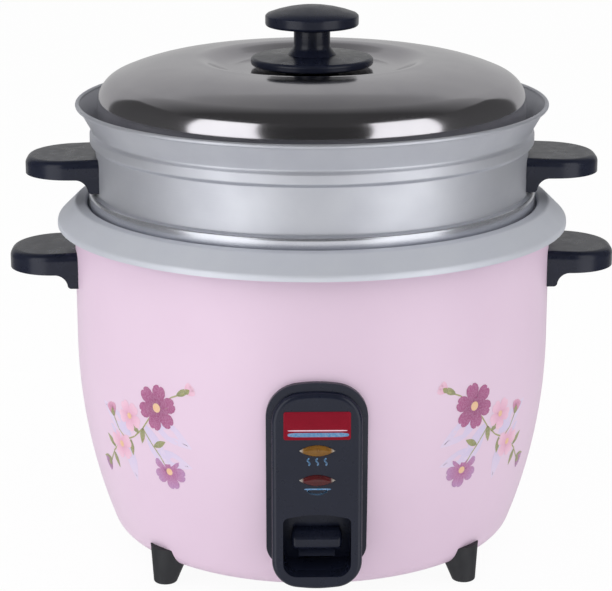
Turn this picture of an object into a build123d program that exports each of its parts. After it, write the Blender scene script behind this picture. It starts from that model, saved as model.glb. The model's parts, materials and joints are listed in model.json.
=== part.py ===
"""Drum rice cooker with a steamer tray, in millimetres, +Z up, control panel facing -Y."""

import os
from math import asin, cos, radians, sin, sqrt, tan

from build123d import *

# Outer casing: straight side, gentle inward sweep, rounded lower corner.
casing_radius = 127.0
casing_top = 183.5
casing_sheet = 0.8
casing_flange_radius = 121.0
casing_flange_bend = 2.5
sweep_start = 116.5
sweep_radius = 288.0
lower_taper = 20.0
corner_radius = 12.0
bottom_height = 9.5
bottom_lip_radius = 90.0
lamp_opening = (24.0, 30.0)

# Feet, seated on the rounded lower corner; each leans outwards to its sole.
foot_angles = {"front_left": 223.0, "front_right": 317.0, "rear_left": 137.0, "rear_right": 43.0}
foot_sole_offset = 107.5
foot_sole_radius = 6.0
foot_sole_fillet = 1.2
foot_root_offset = 102.5
foot_root_radius = 11.2
foot_root_height = 20.0
foot_screw_lean = 24.0
foot_screw_gap = 0.55

# Base plate, with a fan of air slots.
base_plate_sheet = 1.0
base_plate_radius = 96.0
base_screw_ring = 93.0
air_slot_ring = 70.0
air_slot_length = 24.0
air_slot_width = 5.0
air_slot_count = 6
air_slot_start = 27.5
air_slot_fan = 125.0

# Screws: head radius, head height, shank radius and shank length.
base_screw = (3.0, 1.8, 1.7, 5.0)
foot_screw = (3.4, 2.0, 1.45, 8.0)
plate_screw = (3.8, 2.4, 1.95, 12.5)
frame_screw = (2.8, 1.8, 1.45, 5.5)
bracket_screw = (2.8, 1.8, 1.45, 3.4)
switch_screw = (2.4, 1.4, 1.45, 20.4)
panel_screw = (2.6, 1.2, 1.25, 6.0)
body_handle_screw = (3.2, 2.0, 1.75, 8.5)
steamer_handle_screw = (3.2, 1.6, 1.75, 8.5)
inlet_screw = (2.6, 1.6, 1.45, 5.5)
knob_screw = (4.4, 2.6, 2.45, 22.0)
thread_slack = 0.05
pass_slack = 0.25
hole_depth = 6.0
blind_hole_depth = 9.0
panel_hole_depth = 6.5
screw_seat_gap = 0.06
cross_length = 1.1
cross_width = 0.26

# Liner and heating plate.
liner_radius = 118.4
liner_sheet = 0.6
liner_floor = 40.6
liner_flange_radius = 124.3
liner_opening_radius = 32.0
liner_flange_bend = 1.5
liner_floor_bend = 14.0
plate_radius = 78.0
plate_bottom = 48.0
plate_top = 57.0
plate_bore = 18.6
plate_chamfer = 1.2
plate_hole_depth = 5.0
heater_ring_radius = 52.0
heater_tube_radius = 4.0
heater_height = 46.0
heater_end_angles = (162.0, 198.0)
heater_end_radius = 2.4
heater_end_length = 13.0
heater_end_hole = 5.0
spacer_ring_radius = 66.0
spacer_angles = (90.0, 210.0, 330.0)
spacer_radius = 5.0

# Inner pot, with its wide turned-down brim.
pot_sheet = 1.2
pot_radius = 113.8
pot_floor = 58.5
pot_floor_bend = 18.0
pot_seat_height = 187.0
brim_crest_height = 191.2
brim_crest_outer = 126.4
brim_crest_inner = 120.3
brim_edge_radius = 135.9
brim_edge_height = 181.8
brim_edge_low = 179.2
brim_bends = (2.6, 2.4, 1.5, 1.2, 1.8)

# Steamer tray.
tray_sheet = 1.0
tray_wall_radius = 115.0
tray_lip_radius = 124.1
tray_lip_height = 242.7
tray_lip_bead = 1.2
tray_neck_radius = 116.4
tray_neck_height = 229.2
tray_ledge_radius = 117.9
tray_ledge_top = 227.6
tray_ledge_bottom = 222.7
tray_wall_top = 220.9
tray_wall_bottom = 196.6
tray_foot_radius = 118.5
tray_foot_height = 191.8
tray_seat_gap = 0.4
tray_skirt_radius = 112.2
tray_floor = 170.0
tray_floor_bend = 8.0
tray_bends = (1.2, 1.4, 1.4, 1.2, 3.0, 3.0, 1.4, 1.2)
tray_hole_radius = 2.6
tray_hole_pitch = 20.0
tray_hole_rings = (6, 12, 18, 24)

# Lid and knob.
lid_sheet = 0.8
lid_radius = 113.6
lid_crown = 260.4
lid_dish_radius = 46.5
lid_crest_radius = 58.0
lid_crest_height = 265.8
lid_shoulder_radius = 86.7
lid_shoulder_height = 264.6
lid_side_top = 253.0
lid_bends = (20.0, 14.0, 97.0, 16.0, 1.2)
lid_flange_radius = 115.0
lid_flange_height = 223.4
knob_top = 293.3
knob_cap_radius = 24.6
knob_cap_middle = (12.5, 292.1)
knob_cap_edge = 288.9
knob_rim_top = 287.9
knob_rim_bottom = 282.6
knob_rim_fillets = (1.0, 1.6)
knob_neck_radius = 9.6
knob_neck_top = 280.8
knob_neck_bottom = 276.0
knob_foot = 267.4
knob_foot_radius = 13.0
knob_bore_depth = 14.0
skirt_radius = 32.3
skirt_edge_top = 266.2
skirt_edge_bottom = 262.0
skirt_hub_radius = 14.0
skirt_fillets = (1.8, 1.4, 0.5)
washer_radius = 9.0
washer_sheet = 1.0

# Handles: height of the top face, reach along X, drop of the root below the grip.
handle_half_width = 28.0
handle_taper = 1.5
handle_end_radius = 24.0
handle_droop = 1.4
handle_buried = 90.0
handle_top_fillet = 4.0
body_handle_top = 165.8
body_handle_reach = 162.0
body_handle_depth = 11.5
body_handle_screw_height = 157.0
steamer_handle_top = 216.0
steamer_handle_reach = 152.3
steamer_handle_depth = 10.4
steamer_handle_screw_height = 208.0
handle_root_drop = 7.3
handle_root_reach = 9.5
handle_root_tip = 2.8
handle_root_middle = (4.6, 2.0)
handle_root_fillet = 2.0
handle_root_margin = 1.0
handle_screw_offset = 14.0
hollow_margin = 5.0
hollow_roof = 2.6
hollow_start = 11.0
hollow_end_radius = 14.0
hollow_root_radius = 3.0

# Control panel on the front of the casing.
panel_front = 133.0
panel_half_width = 22.4
panel_bottom = 21.4
panel_bottom_bow = 2.2
panel_top = 120.0
panel_top_bow = 3.0
panel_fillets = (60.0, 14.0, 15.0, 60.0, 15.0, 14.0)
panel_edge_fillet = 2.6
panel_root = 90.0
panel_rim_half_width = 25.2
panel_rim_thickness = 3.0
panel_rim_bottom = 24.1
panel_rim_top = 123.8
panel_rim_bow = 3.6
panel_rim_fillets = (12.0, 12.0, 18.0, 60.0, 18.0)
panel_wall = 2.4
panel_hollow = (36.0, 53.0)
panel_hollow_height = 91.0
panel_hollow_corner = 10.0
panel_boss_radius = 4.5
panel_boss_rib = 5.0
panel_screw_heights = (61.7, 114.0)
recess_half_width = 16.9
recess_bottom = 26.3
recess_top = 57.1
recess_bow = 3.4
recess_fillets = (7.0, 7.0, 3.0, 60.0, 3.0)
recess_wall = 2.0
recess_ramp = ((-111.0, 31.4), (-131.8, 23.0))
lens_width = 17.7
lens_height = 5.7
warm_lens_height = 92.9
cook_lens_height = 77.5
badge_width = 33.0
badge_height = 14.4
badge_centre_height = 105.8
badge_corner = 1.2
badge_pocket = 0.5
badge_sheet = 0.8
lens_proud = 0.3
lamp_radius = 1.9
lamp_length = 17.0
lamp_fillet = 0.9
lamp_y = -128.5
lamp_holder_y = -128.7
lamp_post_offset = 8.0
lamp_post = (2.6, 3.8, 24.0)
lamp_bar_height = 3.0
lever_slot_half_width = 8.8
lever_slot_bottom = 29.8
lever_slot_top = 43.2

# Cook lever, magnet and thermostat on the centre line.
pivot_y = -42.0
pivot_height = 24.0
pivot_radius = 1.5
lever_half_width = 7.0
lever_sheet = 1.5
lever_low = 26.0
lever_high = 34.0
lever_tip = 39.0
lever_rear_y = 7.0
lever_rise_y = (-45.0, -52.0)
lever_step_y = (-106.5, -111.5)
lever_end_y = -117.0
lever_bend = 2.0
lever_ear_radius = 3.8
lever_ear_neck = 2.8
fork_gap = 5.2
fork_length = 12.0
lever_tab = (16.0, 8.0)
lever_tab_x = 14.0
key_half_width = 12.7
key_back_y = -120.8
key_front_y = -127.2
key_bottom = 38.4
key_brow = 44.6
key_slope = (-124.0, 47.8)
key_crest = (-121.7, 48.8)
key_fillets = (0.0, 2.2, 2.4, 2.0, 0.0)
key_skirt_bottom = 34.4
key_skirt_top = 40.4
key_skirt_sheet = 1.4
key_skirt_half_width = 9.0
key_stem_y = -113.2
key_stem_half_width = 8.0
key_stem_bottom = 37.2
key_stem_top = 42.2
key_end_fillet = 1.1
key_pocket_y = -112.0
key_pocket_slack = 0.02
magnet_radius = 11.5
magnet_bottom = 42.5
magnet_top = 47.5
magnet_rod_radius = 2.0
magnet_rod_bottom = 21.0
lift_collar = (5.0, 28.5, 2.0)
stop_collar = (4.0, 22.0, 1.5)
ferrite_bottom = 51.5
ferrite_radius = 11.8
sensor_radius = 16.2
sensor_sheet = 1.0
sensor_top_sheet = 1.2
sensor_skirt_bottom = 46.0
sensor_fillet = 0.8
spring_wire = 0.55
spring_radius = 13.6
spring_pitch = 3.3
spring_bottom = 38.1
spring_height = 16.6
frame_radius = 17.6
frame_sheet = 1.0
frame_floor = 36.5
frame_top = 54.0
frame_bore = 2.6
frame_flange_radius = 27.5
frame_flange_sheet = 1.4
frame_screw_offset = 22.5
bracket_plate = (36.0, 12.0)
bracket_corner = 3.0
bracket_sheet = 1.5
bracket_ear_radius = 5.0
bracket_ear_gap = 14.8
bracket_screw_offset = 14.0
pivot_length = 21.0
switch_x = 18.0
switch_y = -58.0
switch_top = 30.0
switch_case = (12.0, 24.0)
switch_case_y = -62.0
switch_screw_spread = 17.6
button_radius = 2.0
button_bottom = 26.6
button_height = 6.6
button_fillet = 0.8
button_well = (2.4, 6.0)

# Power inlet at the rear.
inlet_half_width = 16.5
inlet_bottom = 18.6
inlet_top = 38.8
inlet_face = 118.0
inlet_back = 95.0
inlet_socket_back = 103.0
inlet_flange = (44.0, 26.0)
inlet_flange_corner = 5.0
inlet_wall = 2.0
inlet_screw_height = 29.0
inlet_screw_spread = 9.5
socket_half_width = 12.2
socket_crown_half_width = 7.8
socket_shoulder = 32.4
pin_size = (2.0, 27.0, 4.0)
pin_back = 88.0
pin_spots = ((-7.0, 28.0), (7.0, 28.0), (0.0, 32.0))

# Wires, laid loosely on the base plate.
wire_radius = 1.2
wire_bend = 6.0
wire_lead = 10.0
wire_height = 18.0
heater_wire_top = 33.0
earth_y = 64.0
fuse_corner = (-14.0, -86.0)
fuse_offset = 11.4
fuse_radius = 2.8
fuse_length = 22.0

base_top = bottom_height + casing_sheet + base_plate_sheet
above = (Align.CENTER, Align.CENTER, Align.MIN)
below = (Align.CENTER, Align.CENTER, Align.MAX)


def casing_corners(grow):
    """Lower corner points and fillet radii of the casing outline, offset outwards by grow."""
    half = tan(radians(lower_taper) / 2)
    side = casing_radius + grow
    floor = bottom_height - grow
    knee = sweep_start - (sweep_radius + grow) * half
    toe = side - (knee - floor) * tan(radians(lower_taper))
    return [(side, knee), (toe, floor)], [sweep_radius + grow, corner_radius + grow]


def casing_envelope(grow):
    """Solid that fills the casing's outer face, offset outwards by grow."""
    corners, radii = casing_corners(grow)
    with BuildPart() as envelope:
        with BuildSketch(Plane.XZ):
            with BuildLine():
                side = FilletPolyline(
                    (0, casing_top),
                    (casing_radius + grow, casing_top),
                    *corners,
                    (0, bottom_height - grow),
                    radius=[0, *radii],
                )
                Line(side @ 1, side @ 0)
            make_face()
        revolve(axis=Axis.Z)
    return envelope.part


def casing_plane(azimuth, height, grow):
    """Plane on the casing's side, offset outwards by grow, its normal pointing outwards."""
    lean = asin(max(0.0, sweep_start - height) / sweep_radius)
    radius = casing_radius - sweep_radius * (1 - cos(lean))
    turn = radians(azimuth)
    outward = Vector(cos(lean) * cos(turn), cos(lean) * sin(turn), -sin(lean))
    point = Vector(radius * cos(turn), radius * sin(turn), height)
    return Plane(origin=point + outward * grow, z_dir=outward)


def facing_in(plane):
    """The same plane with its normal reversed."""
    return Plane(origin=plane.origin, z_dir=plane.z_dir * -1)


def foot_plane(azimuth):
    """Plane just clear of the casing's lower corner inside, its normal pointing inwards."""
    toe = casing_corners(0)[0][1][0]
    centre = toe - corner_radius * tan(radians(90 - lower_taper) / 2)
    reach = corner_radius - casing_sheet - foot_screw_gap
    lean = radians(foot_screw_lean)
    radius = centre + reach * sin(lean)
    height = bottom_height + corner_radius - reach * cos(lean)
    turn = radians(azimuth)
    inward = Vector(-sin(lean) * cos(turn), -sin(lean) * sin(turn), cos(lean))
    return Plane(origin=(radius * cos(turn), radius * sin(turn), height), z_dir=inward)


def wall_plane(side, radius, offset_y, height):
    """Plane just clear of a round wall's inside at +X or -X, its normal pointing to the axis."""
    x = side * sqrt((radius - screw_seat_gap) ** 2 - offset_y**2)
    return Plane(origin=(x, offset_y, height), z_dir=(-x, -offset_y, 0))


def level_planes(points, height, up):
    """Horizontal planes at the points, facing up for up = 1 and down for up = -1."""
    return [Plane(origin=(x, y, height), z_dir=(0, 0, up)) for x, y in points]


def ring_points(radius, angles):
    """Points on a circle about the axis."""
    return [(radius * cos(radians(a)), radius * sin(radians(a))) for a in angles]


def screw_group(planes, head_radius, head_height, shank_radius, length):
    """Pan-head screws with a cross recess, heads along the normals, shanks against them."""
    with BuildPart() as screws:
        with Locations(*planes):
            Cylinder(head_radius, head_height, align=above)
            Cylinder(shank_radius, length, align=below)
        with Locations(*[plane.offset(head_height) for plane in planes]):
            Box(head_radius * cross_length, head_radius * cross_width, head_height, mode=Mode.SUBTRACT)
            Box(head_radius * cross_width, head_radius * cross_length, head_height, mode=Mode.SUBTRACT)
    return screws.part


def screw_hole(screw, slack):
    """Radius of a hole for the screw."""
    return screw[2] + slack


def lens_outline(depth, height):
    """Pointed oval of a pilot lens on a plane facing the front, depth in front of the axis."""
    half = lens_width / 2
    rise = lens_height / 2
    with BuildSketch(Plane.XZ.offset(depth)) as outline:
        with BuildLine():
            top = ThreePointArc((-half, height), (0, height + rise), (half, height))
            ThreePointArc(top @ 1, (0, height - rise), top @ 0)
        make_face()
    return outline.sketch


def wire_along(points, radius):
    """Insulated wire swept along straight runs joined by bends."""
    with BuildPart() as wire:
        with BuildLine() as route:
            path = FilletPolyline(*points, radius=wire_bend)
        with BuildSketch(Plane(origin=path @ 0, z_dir=path % 0)):
            Circle(radius)
        sweep(path=route.line)
    return wire.part


def save(piece, name):
    """Label the piece and write it to its own file."""
    piece.label = name
    export_step(piece, "parts/" + name + ".step")


os.makedirs("parts", exist_ok=True)
casing_solid = casing_envelope(0.0)

# Places of the screws.
foot_planes = [foot_plane(angle) for angle in foot_angles.values()]
base_screw_points = ring_points(base_screw_ring, (0.0, 90.0, 180.0, 270.0))
handle_spots = [(side, hand * handle_screw_offset) for side in (-1, 1) for hand in (-1, 1)]
casing_inside = casing_radius - casing_sheet
tray_inside = tray_wall_radius - tray_sheet
body_handle_height = body_handle_screw_height
body_handle_planes = [wall_plane(side, casing_inside, y, body_handle_height) for side, y in handle_spots]
steamer_handle_height = steamer_handle_screw_height
steamer_handle_planes = [wall_plane(side, tray_inside, y, steamer_handle_height) for side, y in handle_spots]
panel_screw_grow = -casing_sheet - thread_slack
panel_screw_planes = [facing_in(casing_plane(-90.0, z, panel_screw_grow)) for z in panel_screw_heights]
inlet_turns = (90.0 - inlet_screw_spread, 90.0 + inlet_screw_spread)
inlet_screw_planes = [casing_plane(turn, inlet_screw_height, inlet_wall) for turn in inlet_turns]
heater_ends = ring_points(heater_ring_radius, heater_end_angles)
spacer_points = ring_points(spacer_ring_radius, spacer_angles)
frame_screw_points = [(-frame_screw_offset, 0.0), (frame_screw_offset, 0.0)]
bracket_screw_points = [(-bracket_screw_offset, pivot_y), (bracket_screw_offset, pivot_y)]
switch_screw_ys = (switch_case_y + switch_screw_spread / 2, switch_case_y - switch_screw_spread / 2)
switch_screw_points = [(switch_x, y) for y in switch_screw_ys]

# Outer casing, one drawn sheet with a turned-in flange at the top and a lip at the bottom.
outer_corners, outer_radii = casing_corners(0.0)
inner_corners, inner_radii = casing_corners(-casing_sheet)
with BuildPart() as outer_casing:
    with BuildSketch(Plane.XZ):
        with BuildLine():
            skin = FilletPolyline(
                (casing_flange_radius, casing_top),
                (casing_radius, casing_top),
                *outer_corners,
                (bottom_lip_radius, bottom_height),
                radius=[casing_flange_bend, *outer_radii],
            )
            back = FilletPolyline(
                (bottom_lip_radius, bottom_height + casing_sheet),
                inner_corners[1],
                inner_corners[0],
                (casing_radius - casing_sheet, casing_top - casing_sheet),
                (casing_flange_radius, casing_top - casing_sheet),
                radius=[inner_radii[1], inner_radii[0], casing_flange_bend - casing_sheet],
            )
            Line(skin @ 1, back @ 0)
            Line(back @ 1, skin @ 0)
        make_face()
    revolve(axis=Axis.Z)
    with Locations((0, -casing_radius + 7, (lever_slot_bottom + lever_slot_top) / 2)):
        Box(2 * lever_slot_half_width, 30, lever_slot_top - lever_slot_bottom, mode=Mode.SUBTRACT)
    with Locations((0, -casing_radius, (warm_lens_height + cook_lens_height) / 2)):
        Box(lamp_opening[0], 12, lamp_opening[1], mode=Mode.SUBTRACT)
    with Locations((0, 112, (inlet_bottom + inlet_top) / 2)):
        Box(2 * inlet_half_width, 30, inlet_top - inlet_bottom, mode=Mode.SUBTRACT)
    with Locations(*foot_planes):
        Cylinder(screw_hole(foot_screw, pass_slack), hole_depth, mode=Mode.SUBTRACT)
    with Locations(*body_handle_planes):
        Cylinder(screw_hole(body_handle_screw, pass_slack), hole_depth, mode=Mode.SUBTRACT)
    with Locations(*panel_screw_planes):
        Cylinder(screw_hole(panel_screw, pass_slack), hole_depth, mode=Mode.SUBTRACT)
    with Locations(*inlet_screw_planes):
        Cylinder(screw_hole(inlet_screw, thread_slack), hole_depth, mode=Mode.SUBTRACT)
    with Locations(*level_planes(base_screw_points, bottom_height, 1)):
        Cylinder(screw_hole(base_screw, thread_slack), hole_depth, mode=Mode.SUBTRACT)
save(outer_casing.part, "outer_casing")

# Inner liner, hung under the casing's top flange.
liner_top = casing_top - casing_sheet
with BuildPart() as inner_liner:
    with BuildSketch(Plane.XZ):
        with BuildLine():
            FilletPolyline(
                (liner_flange_radius, liner_top),
                (liner_radius, liner_top),
                (liner_radius, liner_floor),
                (liner_opening_radius, liner_floor),
                radius=[liner_flange_bend, liner_floor_bend],
            )
            offset(amount=liner_sheet, side=Side.LEFT)
        make_face()
    revolve(axis=Axis.Z)
    with Locations(*level_planes(heater_ends, liner_floor, 1)):
        Cylinder(heater_end_hole, hole_depth, mode=Mode.SUBTRACT)
    with Locations(*level_planes(spacer_points, liner_floor, 1)):
        Cylinder(screw_hole(plate_screw, pass_slack), hole_depth, mode=Mode.SUBTRACT)
save(inner_liner.part, "inner_liner")

# Base plate, laid on the casing's bottom lip, with air slots in its rear half.
with BuildPart() as base_plate:
    with BuildSketch(Plane.XY.offset(base_top - base_plate_sheet)):
        Circle(base_plate_radius)
        with PolarLocations(air_slot_ring, air_slot_count, air_slot_start, air_slot_fan, endpoint=True):
            SlotOverall(air_slot_length, air_slot_width, mode=Mode.SUBTRACT)
        with Locations(*base_screw_points):
            Circle(screw_hole(base_screw, thread_slack), mode=Mode.SUBTRACT)
        with Locations(*bracket_screw_points, *switch_screw_points):
            Circle(screw_hole(bracket_screw, thread_slack), mode=Mode.SUBTRACT)
    extrude(amount=base_plate_sheet)
save(base_plate.part, "base_plate")
base_screw_planes = level_planes(base_screw_points, bottom_height, -1)
save(screw_group(base_screw_planes, *base_screw), "base_plate_screws")

# Feet, lofted from the sole to the wider root and cut to the casing's corner.
for name, angle in foot_angles.items():
    turn = radians(angle)
    with BuildPart() as foot:
        with BuildSketch(Plane.XY):
            with Locations((foot_sole_offset * cos(turn), foot_sole_offset * sin(turn))):
                Circle(foot_sole_radius)
        with BuildSketch(Plane.XY.offset(foot_root_height)):
            with Locations((foot_root_offset * cos(turn), foot_root_offset * sin(turn))):
                Circle(foot_root_radius)
        loft()
        fillet(foot.edges().group_by(Axis.Z)[0], foot_sole_fillet)
        add(casing_solid, mode=Mode.SUBTRACT)
        with Locations(foot_plane(angle)):
            Cylinder(screw_hole(foot_screw, thread_slack), blind_hole_depth, align=below, mode=Mode.SUBTRACT)
    save(foot.part, "foot_" + name)
save(screw_group(foot_planes, *foot_screw), "foot_screws")

# Heating plate with the groove for the heater tube in its underside.
with BuildPart() as heating_plate:
    with BuildSketch(Plane.XY.offset(plate_bottom)):
        Circle(plate_radius)
        Circle(plate_bore, mode=Mode.SUBTRACT)
    extrude(amount=plate_top - plate_bottom)
    chamfer(heating_plate.edges().group_by(Axis.Z)[-1], plate_chamfer)
    with Locations((0, 0, heater_height)):
        Torus(heater_ring_radius, heater_tube_radius + thread_slack, mode=Mode.SUBTRACT)
    with Locations(*level_planes(spacer_points, plate_bottom, 1)):
        Cylinder(screw_hole(plate_screw, thread_slack), plate_hole_depth, align=above, mode=Mode.SUBTRACT)
    with Locations(*level_planes(frame_screw_points, plate_bottom, 1)):
        Cylinder(screw_hole(frame_screw, thread_slack), plate_hole_depth, align=above, mode=Mode.SUBTRACT)
save(heating_plate.part, "heating_plate")

# Heater tube, an open ring with its two cold ends turned down through the liner.
with BuildPart() as heater_tube:
    with BuildLine(Plane.XY.offset(heater_height)) as ring:
        heater_gap = heater_end_angles[1] - heater_end_angles[0]
        arc = CenterArc((0, 0), heater_ring_radius, heater_end_angles[1], 360.0 - heater_gap)
    with BuildSketch(Plane(origin=arc @ 0, z_dir=arc % 0)):
        Circle(heater_tube_radius)
    sweep(path=ring.line)
    with Locations(*level_planes(heater_ends, heater_height, 1)):
        Cylinder(heater_end_radius, heater_end_length, align=below)
save(heater_tube.part, "heater_tube")

spacer_height = plate_bottom - liner_floor
with BuildPart() as plate_spacers:
    with Locations(*level_planes(spacer_points, liner_floor, 1)):
        Cylinder(spacer_radius, spacer_height, align=above)
        Cylinder(screw_hole(plate_screw, pass_slack), spacer_height, align=above, mode=Mode.SUBTRACT)
save(plate_spacers.part, "plate_spacers")
plate_screw_planes = level_planes(spacer_points, liner_floor - liner_sheet, -1)
save(screw_group(plate_screw_planes, *plate_screw), "plate_screws")

# Thermostat frame, a cup hung under the heating plate by its flange.
frame_flange_bottom = plate_bottom - frame_flange_sheet
with BuildPart() as thermostat_frame:
    with BuildSketch(Plane.XZ):
        Polygon(
            (frame_bore, frame_floor),
            (frame_radius, frame_floor),
            (frame_radius, frame_flange_bottom),
            (frame_flange_radius, frame_flange_bottom),
            (frame_flange_radius, plate_bottom),
            (frame_radius, plate_bottom),
            (frame_radius, frame_top),
            (frame_radius - frame_sheet, frame_top),
            (frame_radius - frame_sheet, frame_floor + frame_sheet),
            (frame_bore, frame_floor + frame_sheet),
            align=None,
        )
    revolve(axis=Axis.Z)
    with Locations(*level_planes(frame_screw_points, plate_bottom, 1)):
        Cylinder(screw_hole(frame_screw, pass_slack), hole_depth, mode=Mode.SUBTRACT)
save(thermostat_frame.part, "thermostat_frame")
frame_screw_planes = level_planes(frame_screw_points, frame_flange_bottom, -1)
save(screw_group(frame_screw_planes, *frame_screw), "thermostat_screws")

# Sensor cap that the pot presses down, with the soft-magnetic ferrite under its top.
with BuildPart() as sensor_cap:
    with BuildSketch(Plane.XZ):
        Polygon(
            (0, plate_top),
            (sensor_radius, plate_top),
            (sensor_radius, sensor_skirt_bottom),
            (sensor_radius - sensor_sheet, sensor_skirt_bottom),
            (sensor_radius - sensor_sheet, plate_top - sensor_top_sheet),
            (0, plate_top - sensor_top_sheet),
            align=None,
        )
    revolve(axis=Axis.Z)
    fillet(sensor_cap.edges().group_by(Axis.Z)[-1], sensor_fillet)
save(sensor_cap.part, "sensor_cap")

with BuildPart() as sensor_ferrite:
    with BuildSketch(Plane.XY.offset(ferrite_bottom)):
        Circle(ferrite_radius)
    extrude(amount=plate_top - sensor_top_sheet - ferrite_bottom)
save(sensor_ferrite.part, "sensor_ferrite")

with BuildPart() as sensor_spring:
    with BuildLine(Plane.XY.offset(spring_bottom)) as coil:
        turns = Helix(pitch=spring_pitch, height=spring_height, radius=spring_radius)
    with BuildSketch(Plane(origin=turns @ 0, z_dir=turns % 0)):
        Circle(spring_wire)
    sweep(path=coil.line, is_frenet=True)
save(sensor_spring.part, "sensor_spring")

# Magnet on its rod; the lever's fork lifts the collar.
with BuildPart() as magnet:
    with BuildSketch(Plane.XY.offset(magnet_bottom)):
        Circle(magnet_radius)
        Circle(magnet_rod_radius, mode=Mode.SUBTRACT)
    extrude(amount=magnet_top - magnet_bottom)
save(magnet.part, "magnet")

with BuildPart() as magnet_rod:
    with Locations((0, 0, magnet_rod_bottom)):
        Cylinder(magnet_rod_radius, magnet_top - magnet_rod_bottom, align=above)
    for radius, height, thickness in (lift_collar, stop_collar):
        with Locations((0, 0, height)):
            Cylinder(radius, thickness, align=above)
save(magnet_rod.part, "magnet_rod")

# Bracket that carries the lever's pivot pin.
with BuildPart() as switch_bracket:
    with BuildSketch(Plane.XY.offset(base_top)):
        with Locations((0, pivot_y)):
            RectangleRounded(*bracket_plate, bracket_corner)
        with Locations(*bracket_screw_points):
            Circle(screw_hole(bracket_screw, thread_slack), mode=Mode.SUBTRACT)
    extrude(amount=bracket_sheet)
    for ear in (-bracket_ear_gap / 2 - bracket_sheet, bracket_ear_gap / 2):
        with BuildSketch(Plane.YZ.offset(ear)):
            with Locations((pivot_y, pivot_height)):
                Circle(bracket_ear_radius)
            with Locations((pivot_y, (base_top + pivot_height) / 2)):
                Rectangle(2 * bracket_ear_radius, pivot_height - base_top)
            with Locations((pivot_y, pivot_height)):
                Circle(pivot_radius, mode=Mode.SUBTRACT)
        extrude(amount=bracket_sheet)
save(switch_bracket.part, "switch_bracket")
bracket_screw_planes = level_planes(bracket_screw_points, base_top + bracket_sheet, 1)
save(screw_group(bracket_screw_planes, *bracket_screw), "bracket_screws")

with BuildPart() as lever_pivot_pin:
    with BuildSketch(Plane.YZ.offset(-pivot_length / 2)):
        with Locations((pivot_y, pivot_height)):
            Circle(pivot_radius)
    extrude(amount=pivot_length)
save(lever_pivot_pin.part, "lever_pivot_pin")

# Lever arm, a bent strip with pivot ears, a lifting fork and a tab over the switch button.
with BuildPart() as lever_arm:
    with BuildSketch(Plane.YZ.offset(-lever_half_width)):
        with BuildLine():
            FilletPolyline(
                (lever_rear_y, lever_low),
                (lever_rise_y[0], lever_low),
                (lever_rise_y[1], lever_high),
                (lever_step_y[0], lever_high),
                (lever_step_y[1], lever_tip),
                (lever_end_y, lever_tip),
                radius=lever_bend,
            )
            offset(amount=lever_sheet, side=Side.RIGHT)
        make_face()
    extrude(amount=2 * lever_half_width)
    for ear in (-lever_half_width, lever_half_width - lever_sheet):
        with BuildSketch(Plane.YZ.offset(ear)):
            with Locations((pivot_y, pivot_height)):
                Circle(lever_ear_radius)
            with Locations((pivot_y, pivot_height + lever_ear_neck / 2)):
                Rectangle(2 * lever_ear_radius, lever_ear_neck)
        extrude(amount=lever_sheet)
    with Locations((0, pivot_y, pivot_height)):
        Cylinder(pivot_radius + thread_slack, 40, rotation=(0, 90, 0), mode=Mode.SUBTRACT)
    with Locations((0, lever_rear_y - fork_length, lever_low)):
        fork_box = (fork_gap, 2 * fork_length, 4 * lever_sheet)
        Box(*fork_box, align=(Align.CENTER, Align.MIN, Align.CENTER), mode=Mode.SUBTRACT)
    with Locations((lever_tab_x, switch_y, lever_high + lever_sheet / 2)):
        Box(*lever_tab, lever_sheet)
save(lever_arm.part, "lever_arm")

# Lever key: a stem round the strip's end, and outside the slot a sloped bar for a finger.
with BuildPart() as lever_key:
    with BuildSketch(Plane.YZ.offset(-key_half_width)):
        with BuildLine():
            FilletPolyline(
                (key_back_y, key_bottom),
                (key_front_y, key_bottom),
                (key_front_y, key_brow),
                key_slope,
                key_crest,
                radius=key_fillets,
                close=True,
            )
        make_face()
    extrude(amount=2 * key_half_width)
    fillet(lever_key.faces().sort_by(Axis.X)[0].edges(), key_end_fillet)
    fillet(lever_key.faces().sort_by(Axis.X)[-1].edges(), key_end_fillet)
    with Locations((0, key_back_y, key_skirt_bottom)):
        skirt_box = (2 * key_skirt_half_width, key_skirt_sheet, key_skirt_top - key_skirt_bottom)
        Box(*skirt_box, align=(Align.CENTER, Align.MAX, Align.MIN))
    with Locations((0, key_stem_y, key_stem_bottom)):
        stem_depth = key_stem_y - key_back_y + key_skirt_sheet
        stem_box = (2 * key_stem_half_width, stem_depth, key_stem_top - key_stem_bottom)
        Box(*stem_box, align=(Align.CENTER, Align.MAX, Align.MIN))
    with Locations((0, key_pocket_y, lever_tip + lever_sheet / 2)):
        pocket_width = 2 * (lever_half_width + key_pocket_slack)
        pocket_depth = key_pocket_y - lever_end_y + key_pocket_slack
        pocket_box = (pocket_width, pocket_depth, lever_sheet + 2 * key_pocket_slack)
        Box(*pocket_box, align=(Align.CENTER, Align.MAX, Align.CENTER), mode=Mode.SUBTRACT)
save(lever_key.part, "lever_key")

# Microswitch under the lever's tab.
with BuildPart() as microswitch:
    with Locations((switch_x, switch_case_y, base_top)):
        Box(*switch_case, switch_top - base_top, align=above)
    with Locations((switch_x, switch_y, switch_top)):
        Cylinder(*button_well, align=below, mode=Mode.SUBTRACT)
    with Locations(*level_planes(switch_screw_points, switch_top, 1)):
        Cylinder(screw_hole(switch_screw, thread_slack), switch_top, align=below, mode=Mode.SUBTRACT)
save(microswitch.part, "microswitch")
switch_screw_planes = level_planes(switch_screw_points, switch_top, 1)
save(screw_group(switch_screw_planes, *switch_screw), "microswitch_screws")

with BuildPart() as microswitch_button:
    with Locations((switch_x, switch_y, button_bottom)):
        Cylinder(button_radius, button_height, align=above)
    fillet(microswitch_button.edges().group_by(Axis.Z)[-1], button_fillet)
save(microswitch_button.part, "microswitch_button")

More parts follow.
